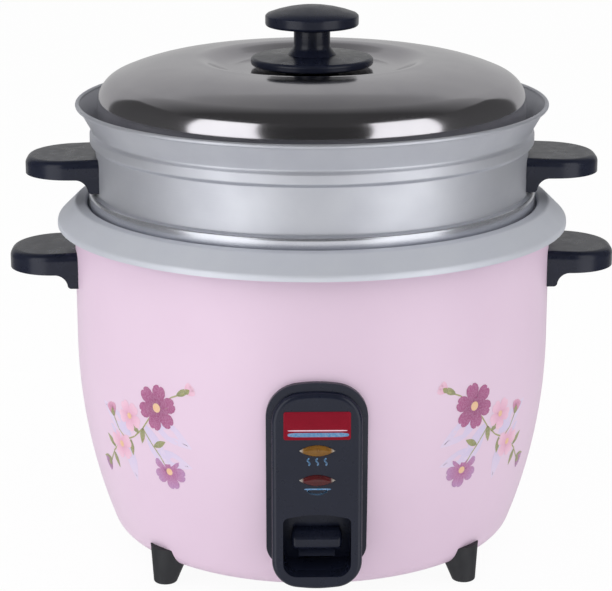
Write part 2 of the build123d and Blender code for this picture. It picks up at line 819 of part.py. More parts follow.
# Control panel: a thin rim that hugs the casing and a raised front with the finger recess.
rim_solid = casing_envelope(panel_rim_thickness)
backing_solid = casing_envelope(recess_wall)
with BuildPart() as recess_solid:
    with BuildSketch(Plane.XZ.offset(panel_root)):
        with BuildLine():
            FilletPolyline(
                (-recess_half_width, recess_bottom),
                (recess_half_width, recess_bottom),
                (recess_half_width, recess_top),
                (0, recess_top + recess_bow),
                (-recess_half_width, recess_top),
                radius=recess_fillets,
                close=True,
            )
        make_face()
    extrude(amount=casing_radius + 20.0 - panel_root)
    add(backing_solid, mode=Mode.SUBTRACT)
    with BuildSketch(Plane.YZ.offset(-panel_half_width)):
        (ramp_back, ramp_high), (ramp_front, ramp_low) = recess_ramp
        Polygon((ramp_back, 0), (ramp_back, ramp_high), (ramp_front, ramp_low), (ramp_front, 0), align=None)
    extrude(amount=2 * panel_half_width, mode=Mode.SUBTRACT)
with BuildPart() as control_panel:
    with BuildSketch(Plane.XZ.offset(panel_root)):
        with BuildLine():
            FilletPolyline(
                (-panel_rim_half_width, panel_rim_bottom),
                (panel_rim_half_width, panel_rim_bottom),
                (panel_rim_half_width, panel_rim_top),
                (0, panel_rim_top + panel_rim_bow),
                (-panel_rim_half_width, panel_rim_top),
                radius=panel_rim_fillets,
                close=True,
            )
        make_face()
    extrude(amount=casing_radius + 20.0 - panel_root)
    add(rim_solid, mode=Mode.INTERSECT)
    with BuildSketch(Plane.XZ.offset(panel_root)):
        with BuildLine():
            FilletPolyline(
                (0, panel_bottom - panel_bottom_bow),
                (panel_half_width, panel_bottom),
                (panel_half_width, panel_top),
                (0, panel_top + panel_top_bow),
                (-panel_half_width, panel_top),
                (-panel_half_width, panel_bottom),
                radius=panel_fillets,
                close=True,
            )
        make_face()
    extrude(amount=panel_front - panel_root)
    fillet(control_panel.edges().group_by(Axis.Y)[0], panel_edge_fillet)
    add(casing_solid, mode=Mode.SUBTRACT)
    with BuildSketch(Plane.XZ.offset(panel_root)):
        with Locations((0, panel_hollow_height)):
            RectangleRounded(*panel_hollow, panel_hollow_corner)
    extrude(amount=panel_front - panel_wall - panel_root, mode=Mode.SUBTRACT)
    with BuildSketch(Plane.XZ.offset(panel_root)):
        with Locations((0, panel_screw_heights[1])):
            Circle(panel_boss_radius)
        with Locations((0, panel_screw_heights[1] + panel_boss_rib / 2)):
            Rectangle(2 * panel_boss_radius, panel_boss_rib)
    extrude(amount=panel_front - panel_wall - panel_root)
    add(casing_solid, mode=Mode.SUBTRACT)
    with Locations(*panel_screw_planes):
        Cylinder(screw_hole(panel_screw, thread_slack), panel_hole_depth, align=below, mode=Mode.SUBTRACT)
    add(recess_solid.part, mode=Mode.SUBTRACT)
    with Locations((0, -113.5, (lever_slot_bottom + lever_slot_top) / 2)):
        Box(2 * lever_slot_half_width, 23, lever_slot_top - lever_slot_bottom, mode=Mode.SUBTRACT)
    for height in (warm_lens_height, cook_lens_height):
        extrude(lens_outline(120.0, height), amount=20.0, mode=Mode.SUBTRACT)
    with BuildSketch(Plane.XZ.offset(panel_front - badge_pocket)):
        with Locations((0, badge_centre_height)):
            RectangleRounded(badge_width, badge_height, badge_corner)
    extrude(amount=2 * badge_pocket, mode=Mode.SUBTRACT)
save(control_panel.part, "control_panel")
save(screw_group(panel_screw_planes, *panel_screw), "panel_screws")

with BuildPart() as badge_plate:
    with BuildSketch(Plane.XZ.offset(panel_front - badge_pocket)):
        with Locations((0, badge_centre_height)):
            RectangleRounded(badge_width, badge_height, badge_corner)
    extrude(amount=badge_sheet)
save(badge_plate.part, "badge_plate")

# Pilot lenses and the lamps behind them.
for name, height in (("warm", warm_lens_height), ("cook", cook_lens_height)):
    with BuildPart() as lens:
        extrude(lens_outline(panel_front - panel_wall, height), amount=panel_wall + lens_proud)
    save(lens.part, name + "_lens")
    with BuildPart() as lamp:
        with BuildSketch(Plane.YZ.offset(-lamp_length / 2)):
            with Locations((lamp_y, height)):
                Circle(lamp_radius)
        extrude(amount=lamp_length)
        fillet(lamp.edges(), lamp_fillet)
    save(lamp.part, name + "_lamp")

lamp_middle = (warm_lens_height + cook_lens_height) / 2
with BuildPart() as lamp_holder:
    with Locations(*[(x, lamp_holder_y, lamp_middle) for x in (-lamp_post_offset, lamp_post_offset)]):
        Box(*lamp_post)
    with Locations((0, lamp_holder_y, lamp_middle)):
        Box(2 * lamp_post_offset, lamp_post[1], lamp_bar_height)
    for height in (warm_lens_height, cook_lens_height):
        with Locations((0, lamp_y, height)):
            Cylinder(lamp_radius, 40, rotation=(0, 90, 0), mode=Mode.SUBTRACT)
save(lamp_holder.part, "lamp_holder")


def handle(side, wall_radius, top, reach, depth, planes):
    """Side handle with rounded plan, filleted root and a hollow underside."""
    low = top - depth
    with BuildPart() as grip:
        with BuildSketch(Plane.XY.offset(low)):
            with BuildLine():
                FilletPolyline(
                    (side * handle_buried, -handle_half_width),
                    (side * reach, -handle_half_width + handle_taper),
                    (side * reach, handle_half_width - handle_taper),
                    (side * handle_buried, handle_half_width),
                    radius=[0.0, handle_end_radius, handle_end_radius, 0.0],
                    close=True,
                )
            make_face()
        extrude(amount=depth)
        with BuildSketch(Plane.XZ.offset(-handle_half_width)):
            Polygon(
                (side * wall_radius, top),
                (side * reach, top - handle_droop),
                (side * reach, top + 1.0),
                (side * wall_radius, top + 1.0),
                align=None,
            )
        extrude(amount=2 * handle_half_width, mode=Mode.SUBTRACT)
        rims = grip.edges().filter_by(lambda e: abs(e.center().X) > wall_radius + 1.0)
        fillet(rims.filter_by(lambda e: e.center().Z > top - depth / 2), handle_top_fillet)
        root = wall_radius + handle_root_reach
        tip = wall_radius + handle_root_tip
        with BuildSketch(Plane.XZ.offset(-handle_half_width + handle_root_margin)):
            with BuildLine():
                roof = Polyline(
                    (side * root, low),
                    (side * root, low + 1.0),
                    (side * handle_buried, low + 1.0),
                    (side * handle_buried, low - handle_root_drop),
                    (side * (tip - handle_root_fillet), low - handle_root_drop),
                )
                toe_end = (side * tip, low - handle_root_drop + handle_root_fillet)
                toe = TangentArc(roof @ 1, toe_end, tangent=(side, 0))
                middle = (side * (wall_radius + handle_root_middle[0]), low - handle_root_middle[1])
                ThreePointArc(toe @ 1, middle, roof @ 0)
            make_face()
        extrude(amount=2 * (handle_half_width - handle_root_margin))
        with BuildSketch(Plane.XY.offset(low)):
            with BuildLine():
                FilletPolyline(
                    (side * (wall_radius + hollow_start), -handle_half_width + hollow_margin),
                    (side * (reach - hollow_margin), -handle_half_width + hollow_margin + handle_taper),
                    (side * (reach - hollow_margin), handle_half_width - hollow_margin - handle_taper),
                    (side * (wall_radius + hollow_start), handle_half_width - hollow_margin),
                    radius=[hollow_root_radius, hollow_end_radius, hollow_end_radius, hollow_root_radius],
                    close=True,
                )
            make_face()
        extrude(amount=depth - handle_droop - hollow_roof, mode=Mode.SUBTRACT)
        with Locations((0, 0, low - 20)):
            Cylinder(wall_radius, 60, align=above, mode=Mode.SUBTRACT)
        hole = screw_hole(body_handle_screw, thread_slack)
        with Locations(*planes):
            Cylinder(hole, blind_hole_depth, align=below, mode=Mode.SUBTRACT)
    return grip.part


body_handles = (("left", -1, body_handle_planes[:2]), ("right", 1, body_handle_planes[2:]))
for name, side, planes in body_handles:
    sizes = (casing_radius, body_handle_top, body_handle_reach, body_handle_depth)
    save(handle(side, *sizes, planes), "body_handle_" + name)
save(screw_group(body_handle_planes, *body_handle_screw), "body_handle_screws")

# Power inlet through the rear of the casing, with a flange that follows the sheet.
pin_places = [(x, pin_back, z) for x, z in pin_spots]
with BuildPart() as power_inlet:
    with BuildSketch(Plane.XZ.offset(-inlet_back)):
        with Locations((0, (inlet_bottom + inlet_top) / 2)):
            RectangleRounded(*inlet_flange, inlet_flange_corner)
    extrude(amount=inlet_back - casing_radius)
    add(casing_envelope(inlet_wall), mode=Mode.INTERSECT)
    add(casing_solid, mode=Mode.SUBTRACT)
    with Locations((0, inlet_back, (inlet_bottom + inlet_top) / 2)):
        Box(
            2 * inlet_half_width,
            inlet_face - inlet_back,
            inlet_top - inlet_bottom,
            align=(Align.CENTER, Align.MIN, Align.CENTER),
        )
    with BuildSketch(Plane.XZ.offset(-inlet_socket_back)):
        Polygon(
            (-socket_half_width, inlet_bottom + inlet_wall),
            (socket_half_width, inlet_bottom + inlet_wall),
            (socket_half_width, socket_shoulder),
            (socket_crown_half_width, inlet_top - inlet_wall),
            (-socket_crown_half_width, inlet_top - inlet_wall),
            (-socket_half_width, socket_shoulder),
            align=None,
        )
    extrude(amount=inlet_socket_back - casing_radius, mode=Mode.SUBTRACT)
    with Locations(*pin_places):
        Box(*pin_size, align=(Align.CENTER, Align.MIN, Align.CENTER), mode=Mode.SUBTRACT)
    with Locations(*inlet_screw_planes):
        Cylinder(screw_hole(inlet_screw, thread_slack), hole_depth, mode=Mode.SUBTRACT)
save(power_inlet.part, "power_inlet")

with BuildPart() as inlet_pins:
    with Locations(*pin_places):
        Box(*pin_size, align=(Align.CENTER, Align.MIN, Align.CENTER))
save(inlet_pins.part, "inlet_pins")
save(screw_group(inlet_screw_planes, *inlet_screw), "inlet_screws")

# Wiring: inlet to switch and heater, switch to heater through the fuse, earth to the base.
neutral_end, switched_end = heater_ends
neutral_pin, live_pin, earth_pin = pin_places
neutral_lead, live_lead, earth_lead = [(x, pin_back - wire_lead, z) for x, z in pin_spots]
switch_rear_y = switch_case_y + switch_case[1] / 2
switch_front_y = switch_case_y - switch_case[1] / 2
live_route = [
    live_pin,
    live_lead,
    (36, 56, 20),
    (42, 0, 17),
    (switch_x, -34, wire_height),
    (switch_x, switch_rear_y, wire_height),
]
neutral_route = [
    neutral_pin,
    neutral_lead,
    (-44, 50, 22),
    (*neutral_end, 20),
    (*neutral_end, heater_wire_top),
]
switch_route = [
    (switch_x, switch_front_y, wire_height),
    (switch_x, fuse_corner[1], wire_height),
    (*fuse_corner, wire_height),
    (fuse_corner[0] - 32, fuse_corner[1] + 32, wire_height),
    (*switched_end, 20),
    (*switched_end, heater_wire_top),
]
earth_route = [earth_pin, earth_lead, (0, earth_y, 24), (0, earth_y, base_top)]
save(wire_along(live_route, wire_radius), "live_wire")
save(wire_along(neutral_route, wire_radius), "neutral_wire")
save(wire_along(switch_route, wire_radius), "switch_wire")
save(wire_along(earth_route, wire_radius), "earth_wire")

fuse_start = (fuse_corner[0] - fuse_offset / sqrt(2), fuse_corner[1] + fuse_offset / sqrt(2), wire_height)
with BuildPart() as thermal_fuse:
    with BuildSketch(Plane(origin=fuse_start, z_dir=(-1, 1, 0))):
        Circle(fuse_radius)
        Circle(wire_radius + thread_slack, mode=Mode.SUBTRACT)
    extrude(amount=fuse_length)
save(thermal_fuse.part, "thermal_fuse")

# Inner pot: brim, seat for the steamer, wall and floor in one drawn sheet.
with BuildPart() as inner_pot:
    with BuildSketch(Plane.XZ):
        with BuildLine():
            FilletPolyline(
                (brim_edge_radius, brim_edge_low),
                (brim_edge_radius, brim_edge_height),
                (brim_crest_outer, brim_crest_height),
                (brim_crest_inner, brim_crest_height),
                (brim_crest_inner - 0.3, pot_seat_height),
                (pot_radius, pot_seat_height),
                (pot_radius, pot_floor),
                (0, pot_floor),
                radius=[*brim_bends, pot_floor_bend],
            )
            offset(amount=pot_sheet, side=Side.LEFT)
        make_face()
    revolve(axis=Axis.Z)
save(inner_pot.part, "inner_pot")

# Steamer tray: flared lip, ledge for the lid, wall, skirt into the pot, pierced floor.
tray_seat = pot_seat_height + tray_seat_gap
with BuildPart() as steamer_tray:
    with BuildSketch(Plane.XZ):
        with BuildLine():
            FilletPolyline(
                (tray_lip_radius, tray_lip_height),
                (tray_neck_radius, tray_neck_height),
                (tray_ledge_radius, tray_ledge_top),
                (tray_ledge_radius, tray_ledge_bottom),
                (tray_wall_radius, tray_wall_top),
                (tray_wall_radius, tray_wall_bottom),
                (tray_foot_radius, tray_foot_height),
                (tray_foot_radius, tray_seat),
                (tray_skirt_radius, tray_seat),
                (tray_skirt_radius, tray_floor),
                (0, tray_floor),
                radius=[*tray_bends, tray_floor_bend],
            )
            offset(amount=tray_sheet, side=Side.RIGHT)
        make_face()
    revolve(axis=Axis.Z)
    with Locations((0, 0, tray_lip_height)):
        Torus(tray_lip_radius - 0.2, tray_lip_bead)
    with BuildSketch(Plane.XY.offset(tray_floor - 2.0)):
        Circle(tray_hole_radius)
        for count in tray_hole_rings:
            with PolarLocations(tray_hole_pitch * count / tray_hole_rings[0], count):
                Circle(tray_hole_radius)
    extrude(amount=5.0, mode=Mode.SUBTRACT)
    with Locations(*steamer_handle_planes):
        Cylinder(screw_hole(steamer_handle_screw, pass_slack), hole_depth, mode=Mode.SUBTRACT)
save(steamer_tray.part, "steamer_tray")

steamer_handles = (("left", -1, steamer_handle_planes[:2]), ("right", 1, steamer_handle_planes[2:]))
for name, side, planes in steamer_handles:
    sizes = (tray_wall_radius, steamer_handle_top, steamer_handle_reach, steamer_handle_depth)
    save(handle(side, *sizes, planes), "steamer_handle_" + name)
save(screw_group(steamer_handle_planes, *steamer_handle_screw), "steamer_handle_screws")

# Lid: dished centre for the knob, crest, shoulder, side and a small flange at the bottom.
with BuildPart() as lid_shell:
    with BuildSketch(Plane.XZ):
        with BuildLine():
            FilletPolyline(
                (0, lid_crown),
                (lid_dish_radius, lid_crown),
                (lid_crest_radius, lid_crest_height),
                (lid_shoulder_radius, lid_shoulder_height),
                (lid_radius, lid_side_top),
                (lid_radius, lid_flange_height),
                (lid_flange_radius, lid_flange_height),
                radius=lid_bends,
            )
            offset(amount=lid_sheet, side=Side.RIGHT)
        make_face()
    revolve(axis=Axis.Z)
    with Locations((0, 0, lid_crown)):
        Cylinder(screw_hole(knob_screw, pass_slack), hole_depth, mode=Mode.SUBTRACT)
save(lid_shell.part, "lid_shell")

# Knob: domed cap, neck and flared foot, on a skirt disc, held by one screw from below.
with BuildPart() as lid_knob:
    with BuildSketch(Plane.XZ):
        with BuildLine():
            crown_end = (knob_cap_radius - 1.0, knob_cap_edge)
            crown = ThreePointArc((0, knob_top), knob_cap_middle, crown_end)
            rim = FilletPolyline(
                crown @ 1,
                (knob_cap_radius, knob_rim_top),
                (knob_cap_radius, knob_rim_bottom),
                (knob_neck_radius, knob_neck_top),
                radius=knob_rim_fillets,
            )
            neck = Line(rim @ 1, (knob_neck_radius, knob_neck_bottom))
            flare = TangentArc(neck @ 1, (knob_foot_radius, knob_foot), tangent=(0, -1))
            Line(flare @ 1, (0, knob_foot))
            Line((0, knob_foot), crown @ 0)
        make_face()
    revolve(axis=Axis.Z)
    with Locations((0, 0, knob_foot)):
        Cylinder(screw_hole(knob_screw, thread_slack), knob_bore_depth, align=above, mode=Mode.SUBTRACT)
save(lid_knob.part, "lid_knob")

skirt_bore = screw_hole(knob_screw, pass_slack)
with BuildPart() as knob_skirt:
    with BuildSketch(Plane.XZ):
        with BuildLine():
            FilletPolyline(
                (skirt_bore, knob_foot),
                (knob_foot_radius + 0.2, knob_foot),
                (skirt_radius, skirt_edge_top),
                (skirt_radius, skirt_edge_bottom),
                (skirt_hub_radius, skirt_edge_bottom),
                (skirt_hub_radius, lid_crown),
                (skirt_bore, lid_crown),
                radius=[0.0, *skirt_fillets, 0.0, 0.0, 0.0],
                close=True,
            )
        make_face()
    revolve(axis=Axis.Z)
save(knob_skirt.part, "knob_skirt")

washer_bottom = lid_crown - lid_sheet - washer_sheet
with BuildPart() as knob_washer:
    with BuildSketch(Plane.XY.offset(washer_bottom)):
        Circle(washer_radius)
        Circle(screw_hole(knob_screw, pass_slack), mode=Mode.SUBTRACT)
    extrude(amount=washer_sheet)
save(knob_washer.part, "knob_washer")
save(screw_group(level_planes([(0, 0)], washer_bottom, -1), *knob_screw), "knob_screw")
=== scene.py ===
"""Looks of a drum rice cooker with a steamer tray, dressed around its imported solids.

Sizes in the classes are millimetres in the cooker's own frame, +Z up and the panel facing -Y.
MM turns them into Blender's metres.
"""

import json
import logging
import math
from dataclasses import dataclass
from enum import Enum, IntEnum
from typing import Iterable, Sequence

import bmesh
import bpy
from mathutils import Matrix, Vector


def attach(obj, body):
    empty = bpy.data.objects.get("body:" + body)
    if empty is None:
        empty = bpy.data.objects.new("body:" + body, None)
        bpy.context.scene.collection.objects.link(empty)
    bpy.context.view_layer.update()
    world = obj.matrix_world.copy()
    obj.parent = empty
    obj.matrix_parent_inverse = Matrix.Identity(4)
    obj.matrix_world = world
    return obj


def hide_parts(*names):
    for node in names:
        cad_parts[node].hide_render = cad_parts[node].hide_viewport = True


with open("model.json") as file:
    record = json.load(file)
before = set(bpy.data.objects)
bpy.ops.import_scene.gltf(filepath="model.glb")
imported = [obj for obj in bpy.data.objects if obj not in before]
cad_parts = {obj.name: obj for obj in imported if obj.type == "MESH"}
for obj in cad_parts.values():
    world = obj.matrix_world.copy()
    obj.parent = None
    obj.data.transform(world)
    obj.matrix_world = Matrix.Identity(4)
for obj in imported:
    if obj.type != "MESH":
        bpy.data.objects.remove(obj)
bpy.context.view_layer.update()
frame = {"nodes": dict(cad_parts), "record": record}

MM = 0.001
SAME_PLACE = 1e-6
# Longest steps along an arc, in degrees and in millimetres.
ARC_DEGREES = 5
ARC_LENGTH = 5
# Extra point past an arc: its distance at most, as a share of the arc's run, and how many fit in the flat.
EASE = 0.6
EASE_SHARE = 0.3
EASE_ROOM = 3
log = logging.getLogger("rice_cooker")
Colour = tuple[float, float, float, float]
Point = tuple[float, float]
Spot = tuple[float, float, float]
Block = tuple[Spot, Spot]
Piece = bpy.types.Object
Socket = bpy.types.NodeSocket
WHITE: Colour = (1.0, 1.0, 1.0, 1.0)


def paint(red: int, green: int, blue: int) -> Colour:
    """Linear colour of a paint sample.

    Args:
        red: sRGB red, 0 to 255.
        green: sRGB green, 0 to 255.
        blue: sRGB blue, 0 to 255.

    Returns:
        Opaque linear RGBA.
    """

    def linear(value: int) -> float:
        """One channel without its display curve."""
        share = value / 255
        return share / 12.92 if share <= 0.04045 else ((share + 0.055) / 1.055) ** 2.4

    return (linear(red), linear(green), linear(blue), 1.0)


class Nodes:
    """A node tree and the steps that fill it."""

    def __init__(self, tree: bpy.types.NodeTree) -> None:
        """Take a tree to fill.

        Args:
            tree: node tree of a material or a world.
        """
        self.tree = tree

    def add(self, kind: str, inputs: dict | None = None, **settings: object) -> bpy.types.Node:
        """Add a node.

        Args:
            kind: Blender's node type.
            inputs: values or sockets for the node's inputs, by name or number.
            settings: the node's own properties.

        Returns:
            The new node.
        """
        node = self.tree.nodes.new(kind)
        for key, value in settings.items():
            setattr(node, key, value)
        for key, value in (inputs or {}).items():
            self.feed(node.inputs[key], value)
        return node

    def feed(self, socket: Socket, value: object) -> None:
        """Join a socket to another socket, or give it a plain value.

        Args:
            socket: the input to fill.
            value: an output socket, a number or a colour.
        """
        if isinstance(value, Socket):
            self.tree.links.new(value, socket)
        else:
            socket.default_value = value

    def show(self, shader: bpy.types.Node) -> None:
        """Send a shader to the tree's output."""
        output = next(node for node in self.tree.nodes if node.type.startswith("OUTPUT"))
        self.feed(output.inputs["Surface"], shader.outputs[0])


class Graph(Nodes):
    """Node tree of one finish, read on the piece's own Object coordinates."""

    def __init__(self, name: str) -> None:
        """Start a material with its Principled shader.

        Args:
            name: the material's name.
        """
        self.material = bpy.data.materials.new(name)
        self.material.use_nodes = True
        super().__init__(self.material.node_tree)
        self.shader = self.tree.nodes["Principled BSDF"]
        self.place = self.add("ShaderNodeTexCoord").outputs["Object"]

    def dress(self, **inputs: object) -> None:
        """Fill inputs of the Principled shader.

        Args:
            inputs: values by input name, with underscores for spaces.
        """
        for key, value in inputs.items():
            self.feed(self.shader.inputs[key.replace("_", " ")], value)

    def noise(self, size: float, detail: float = 2.0, where: Socket | None = None) -> Socket:
        """Soft noise from 0 to 1.

        Args:
            size: size of its features in millimetres.
            detail: octaves of finer noise.
            where: coordinates to read, the piece's own if left out.

        Returns:
            The noise's factor socket.
        """
        inputs = {"Vector": where or self.place, "Scale": 1 / (size * MM), "Detail": detail}
        return self.add("ShaderNodeTexNoise", inputs).outputs["Fac"]

    def spread(
        self, value: Socket, low: float, high: float, start: float = 0.3, end: float = 0.7
    ) -> Socket:
        """Map a factor onto a range.

        Args:
            value: the factor.
            low: result at start.
            high: result at end.
            start: factor that gives low.
            end: factor that gives high.

        Returns:
            The mapped socket.
        """
        inputs = {"Value": value, "From Min": start, "From Max": end, "To Min": low, "To Max": high}
        return self.add("ShaderNodeMapRange", inputs).outputs["Result"]

    def blend(self, amount: object, first: object, second: object) -> Socket:
        """Mix two colours.

        Args:
            amount: share of the second colour.
            first: colour or socket at 0.
            second: colour or socket at 1.

        Returns:
            The mixed colour socket.
        """
        inputs = {"Factor": amount, 6: first, 7: second}
        return self.add("ShaderNodeMix", inputs, data_type="RGBA").outputs[2]

    def bump(self, height: Socket, depth: float) -> Socket:
        """Small relief from a factor.

        Args:
            height: relief from 0 to 1.
            depth: its depth in millimetres.

        Returns:
            The normal socket.
        """
        return self.add("ShaderNodeBump", {"Height": height, "Distance": depth * MM}).outputs["Normal"]

    def axis(self, name: str) -> Socket:
        """One of the piece's own X, Y or Z coordinates."""
        return self.add("ShaderNodeSeparateXYZ", {"Vector": self.place}).outputs[name]

    def rings(self, spacing: float) -> Socket:
        """Fine lines that run round the cooker's axis, as turning leaves them.

        Args:
            spacing: distance between lines in millimetres.

        Returns:
            The lines' factor socket.
        """
        flat = self.add("ShaderNodeVectorMath", {0: self.place, 1: (1, 1, 0)}, operation="MULTIPLY")
        out = self.add("ShaderNodeVectorMath", {0: flat.outputs["Vector"]}, operation="LENGTH")
        inputs = {"X": out.outputs["Value"], "Y": self.axis("Z")}
        where = self.add("ShaderNodeCombineXYZ", inputs).outputs["Vector"]
        return self.noise(spacing, 3.0, where)


@dataclass(frozen=True)
class Finish:
    """A surface finish: its main colour, the colour that it drifts to, and its roughness."""

    colour: Colour
    drift: Colour
    roughness: float

    def make(self, name: str) -> bpy.types.Material:
        """Build the material.

        Args:
            name: the material's name.

        Returns:
            The finished material.
        """
        raise NotImplementedError

    def tint(self, graph: Graph, factor: Socket) -> Socket:
        """Colour that drifts with a noise."""
        return graph.blend(graph.spread(factor, 0, 1), self.colour, self.drift)

    def gloss(self, graph: Graph, factor: Socket, stray: float) -> Socket:
        """Roughness that strays either way with a noise."""
        return graph.spread(factor, self.roughness - stray, self.roughness + stray)


@dataclass(frozen=True)
class Enamel(Finish):
    """Sprayed and baked enamel with a faint orange peel under a clear gloss."""

    peel: float = 1.3
    peel_depth: float = 0.006
    coat: float = 0.12
    coat_roughness: float = 0.3
    cloud: float = 70.0
    patch: float = 9.0
    stray: float = 0.03

    def make(self, name: str) -> bpy.types.Material:
        """Build the material (see Finish.make)."""
        graph = Graph(name)
        graph.dress(
            Base_Color=self.tint(graph, graph.noise(self.cloud, 3)),
            Roughness=self.gloss(graph, graph.noise(self.patch), self.stray),
            Normal=graph.bump(graph.noise(self.peel), self.peel_depth),
            Coat_Weight=self.coat,
            Coat_Roughness=self.coat_roughness,
        )
        return graph.material


@dataclass(frozen=True)
class TurnedMetal(Finish):
    """Spun or turned metal with fine lines round the axis and soft handling marks.

    Below the height that rubbed gives, in millimetres, it is worn bright by its seat.
    """

    spacing: float = 0.5
    line_depth: float = 0.004
    scatter: float = 0.08
    metallic: float = 1.0
    rubbed: float = 0.0
    rubbed_roughness: float = 0.25
    rubbed_edge: float = 0.4
    cloud: float = 28.0
    cloud_share: float = 0.25
    marks_range: Point = (0.1, 0.6)

    def make(self, name: str) -> bpy.types.Material:
        """Build the material (see Finish.make)."""
        graph = Graph(name)
        lines = graph.rings(self.spacing)
        cloud = graph.noise(self.cloud, 4)
        inputs = {0: lines, 1: cloud, 2: graph.spread(cloud, 0, self.cloud_share)}
        marks = graph.add("ShaderNodeMath", inputs, operation="MULTIPLY_ADD").outputs["Value"]
        low, high = self.roughness - self.scatter, self.roughness + self.scatter
        rough = graph.spread(marks, low, high, *self.marks_range)
        start, end = (self.rubbed - self.rubbed_edge) * MM, self.rubbed * MM
        cap = graph.spread(graph.axis("Z"), self.rubbed_roughness, 1, start, end)
        worn = graph.add("ShaderNodeMath", {0: rough, 1: cap}, operation="MINIMUM")
        graph.dress(
            Base_Color=self.tint(graph, cloud),
            Metallic=self.metallic,
            Roughness=worn.outputs["Value"],
            Normal=graph.bump(lines, self.line_depth),
        )
        return graph.material


@dataclass(frozen=True)
class SheetMetal(Finish):
    """Plated or bare sheet, wire and screws, with a grain and dull patches."""

    grain: float = 4.0
    grain_depth: float = 0.01
    metallic: float = 1.0
    smoother: float = 0.06
    duller: float = 0.08
    spangle_reach: float = 0.8

    def make(self, name: str) -> bpy.types.Material:
        """Build the material (see Finish.make)."""
        graph = Graph(name)
        inputs = {"Vector": graph.place, "Scale": 1 / (self.grain * MM)}
        spangle = graph.add("ShaderNodeTexVoronoi", inputs).outputs["Distance"]
        low, high = self.roughness - self.smoother, self.roughness + self.duller
        graph.dress(
            Base_Color=self.tint(graph, graph.noise(self.grain * 3, 4)),
            Metallic=self.metallic,
            Roughness=graph.spread(spangle, low, high, 0, self.spangle_reach),
            Normal=graph.bump(graph.noise(self.grain / 6), self.grain_depth),
        )
        return graph.material


@dataclass(frozen=True)
class Moulding(Finish):
    """Moulded plastic, rubber, ceramic or stoved paint, with a fine skin grain and uneven gloss."""

    grain: float = 0.6
    grain_depth: float = 0.006
    coat: float = 0.0
    specular: float = 0.5
    coat_roughness: float = 0.12
    cloud: float = 18.0
    patch: float = 6.0
    stray: float = 0.05

    def make(self, name: str) -> bpy.types.Material:
        """Build the material (see Finish.make)."""
        graph = Graph(name)
        graph.dress(
            Base_Color=self.tint(graph, graph.noise(self.cloud, 4)),
            Roughness=self.gloss(graph, graph.noise(self.patch, 3), self.stray),
            Normal=graph.bump(graph.noise(self.grain), self.grain_depth),
            Coat_Weight=self.coat,
            Coat_Roughness=self.coat_roughness,
            Specular_IOR_Level=self.specular,
        )
        return graph.material


@dataclass(frozen=True)
class ClearMoulding(Finish):
    """Tinted clear plastic or glass with faint flow marks, and a painted highlight: its colour turns pale
    towards its two ends along X, standing in for the glints at a lens's tips.
    """

    clear: float = 0.5
    index: float = 1.49
    reach: float = 9.0
    # Painted highlight: the pale colour painted at both ends in place of the tips' glints, and the shares of
    # reach over which it comes in; this is not the plastic's own tint.
    painted_glint: Colour = (0.5, 0.46, 0.41, 1.0)
    painted_glint_range: Point = (0.74, 0.9)
    flow: float = 3.5
    flow_depth: float = 0.02
    stray: float = 0.03

    def make(self, name: str) -> bpy.types.Material:
        """Build the material (see Finish.make)."""
        graph = Graph(name)
        flow = graph.noise(self.flow)
        out = graph.add("ShaderNodeMath", {0: graph.axis("X")}, operation="ABSOLUTE").outputs["Value"]
        # Painted highlight: the colour blends to the pale glint colour as |X| nears the two ends.
        start, end = (share * self.reach * MM for share in self.painted_glint_range)
        ends = graph.spread(out, 0, 1, start, end)
        graph.dress(
            Base_Color=graph.blend(ends, self.tint(graph, flow), self.painted_glint),
            Roughness=self.gloss(graph, flow, self.stray),
            Normal=graph.bump(flow, self.flow_depth),
            Transmission_Weight=self.clear,
            IOR=self.index,
        )
        return graph.material


@dataclass(frozen=True)
class PrintedInk(Finish):
    """Screen ink whose colours lie in the piece's own tint attribute, mottled as if stippled."""

    grain: float = 0.8
    stipple: float = 0.22
    relief: float = 0.004
    patch: float = 5.0
    stray: float = 0.04

    def make(self, name: str) -> bpy.types.Material:
        """Build the material (see Finish.make)."""
        graph = Graph(name)
        printed = graph.add("ShaderNodeAttribute", attribute_name="tint").outputs["Color"]
        stipple = graph.spread(graph.noise(self.grain, 3), 0, self.stipple)
        graph.dress(
            Base_Color=graph.blend(stipple, printed, self.drift),
            Roughness=self.gloss(graph, graph.noise(self.patch), self.stray),
            Normal=graph.bump(graph.noise(self.grain), self.relief),
        )
        return graph.material


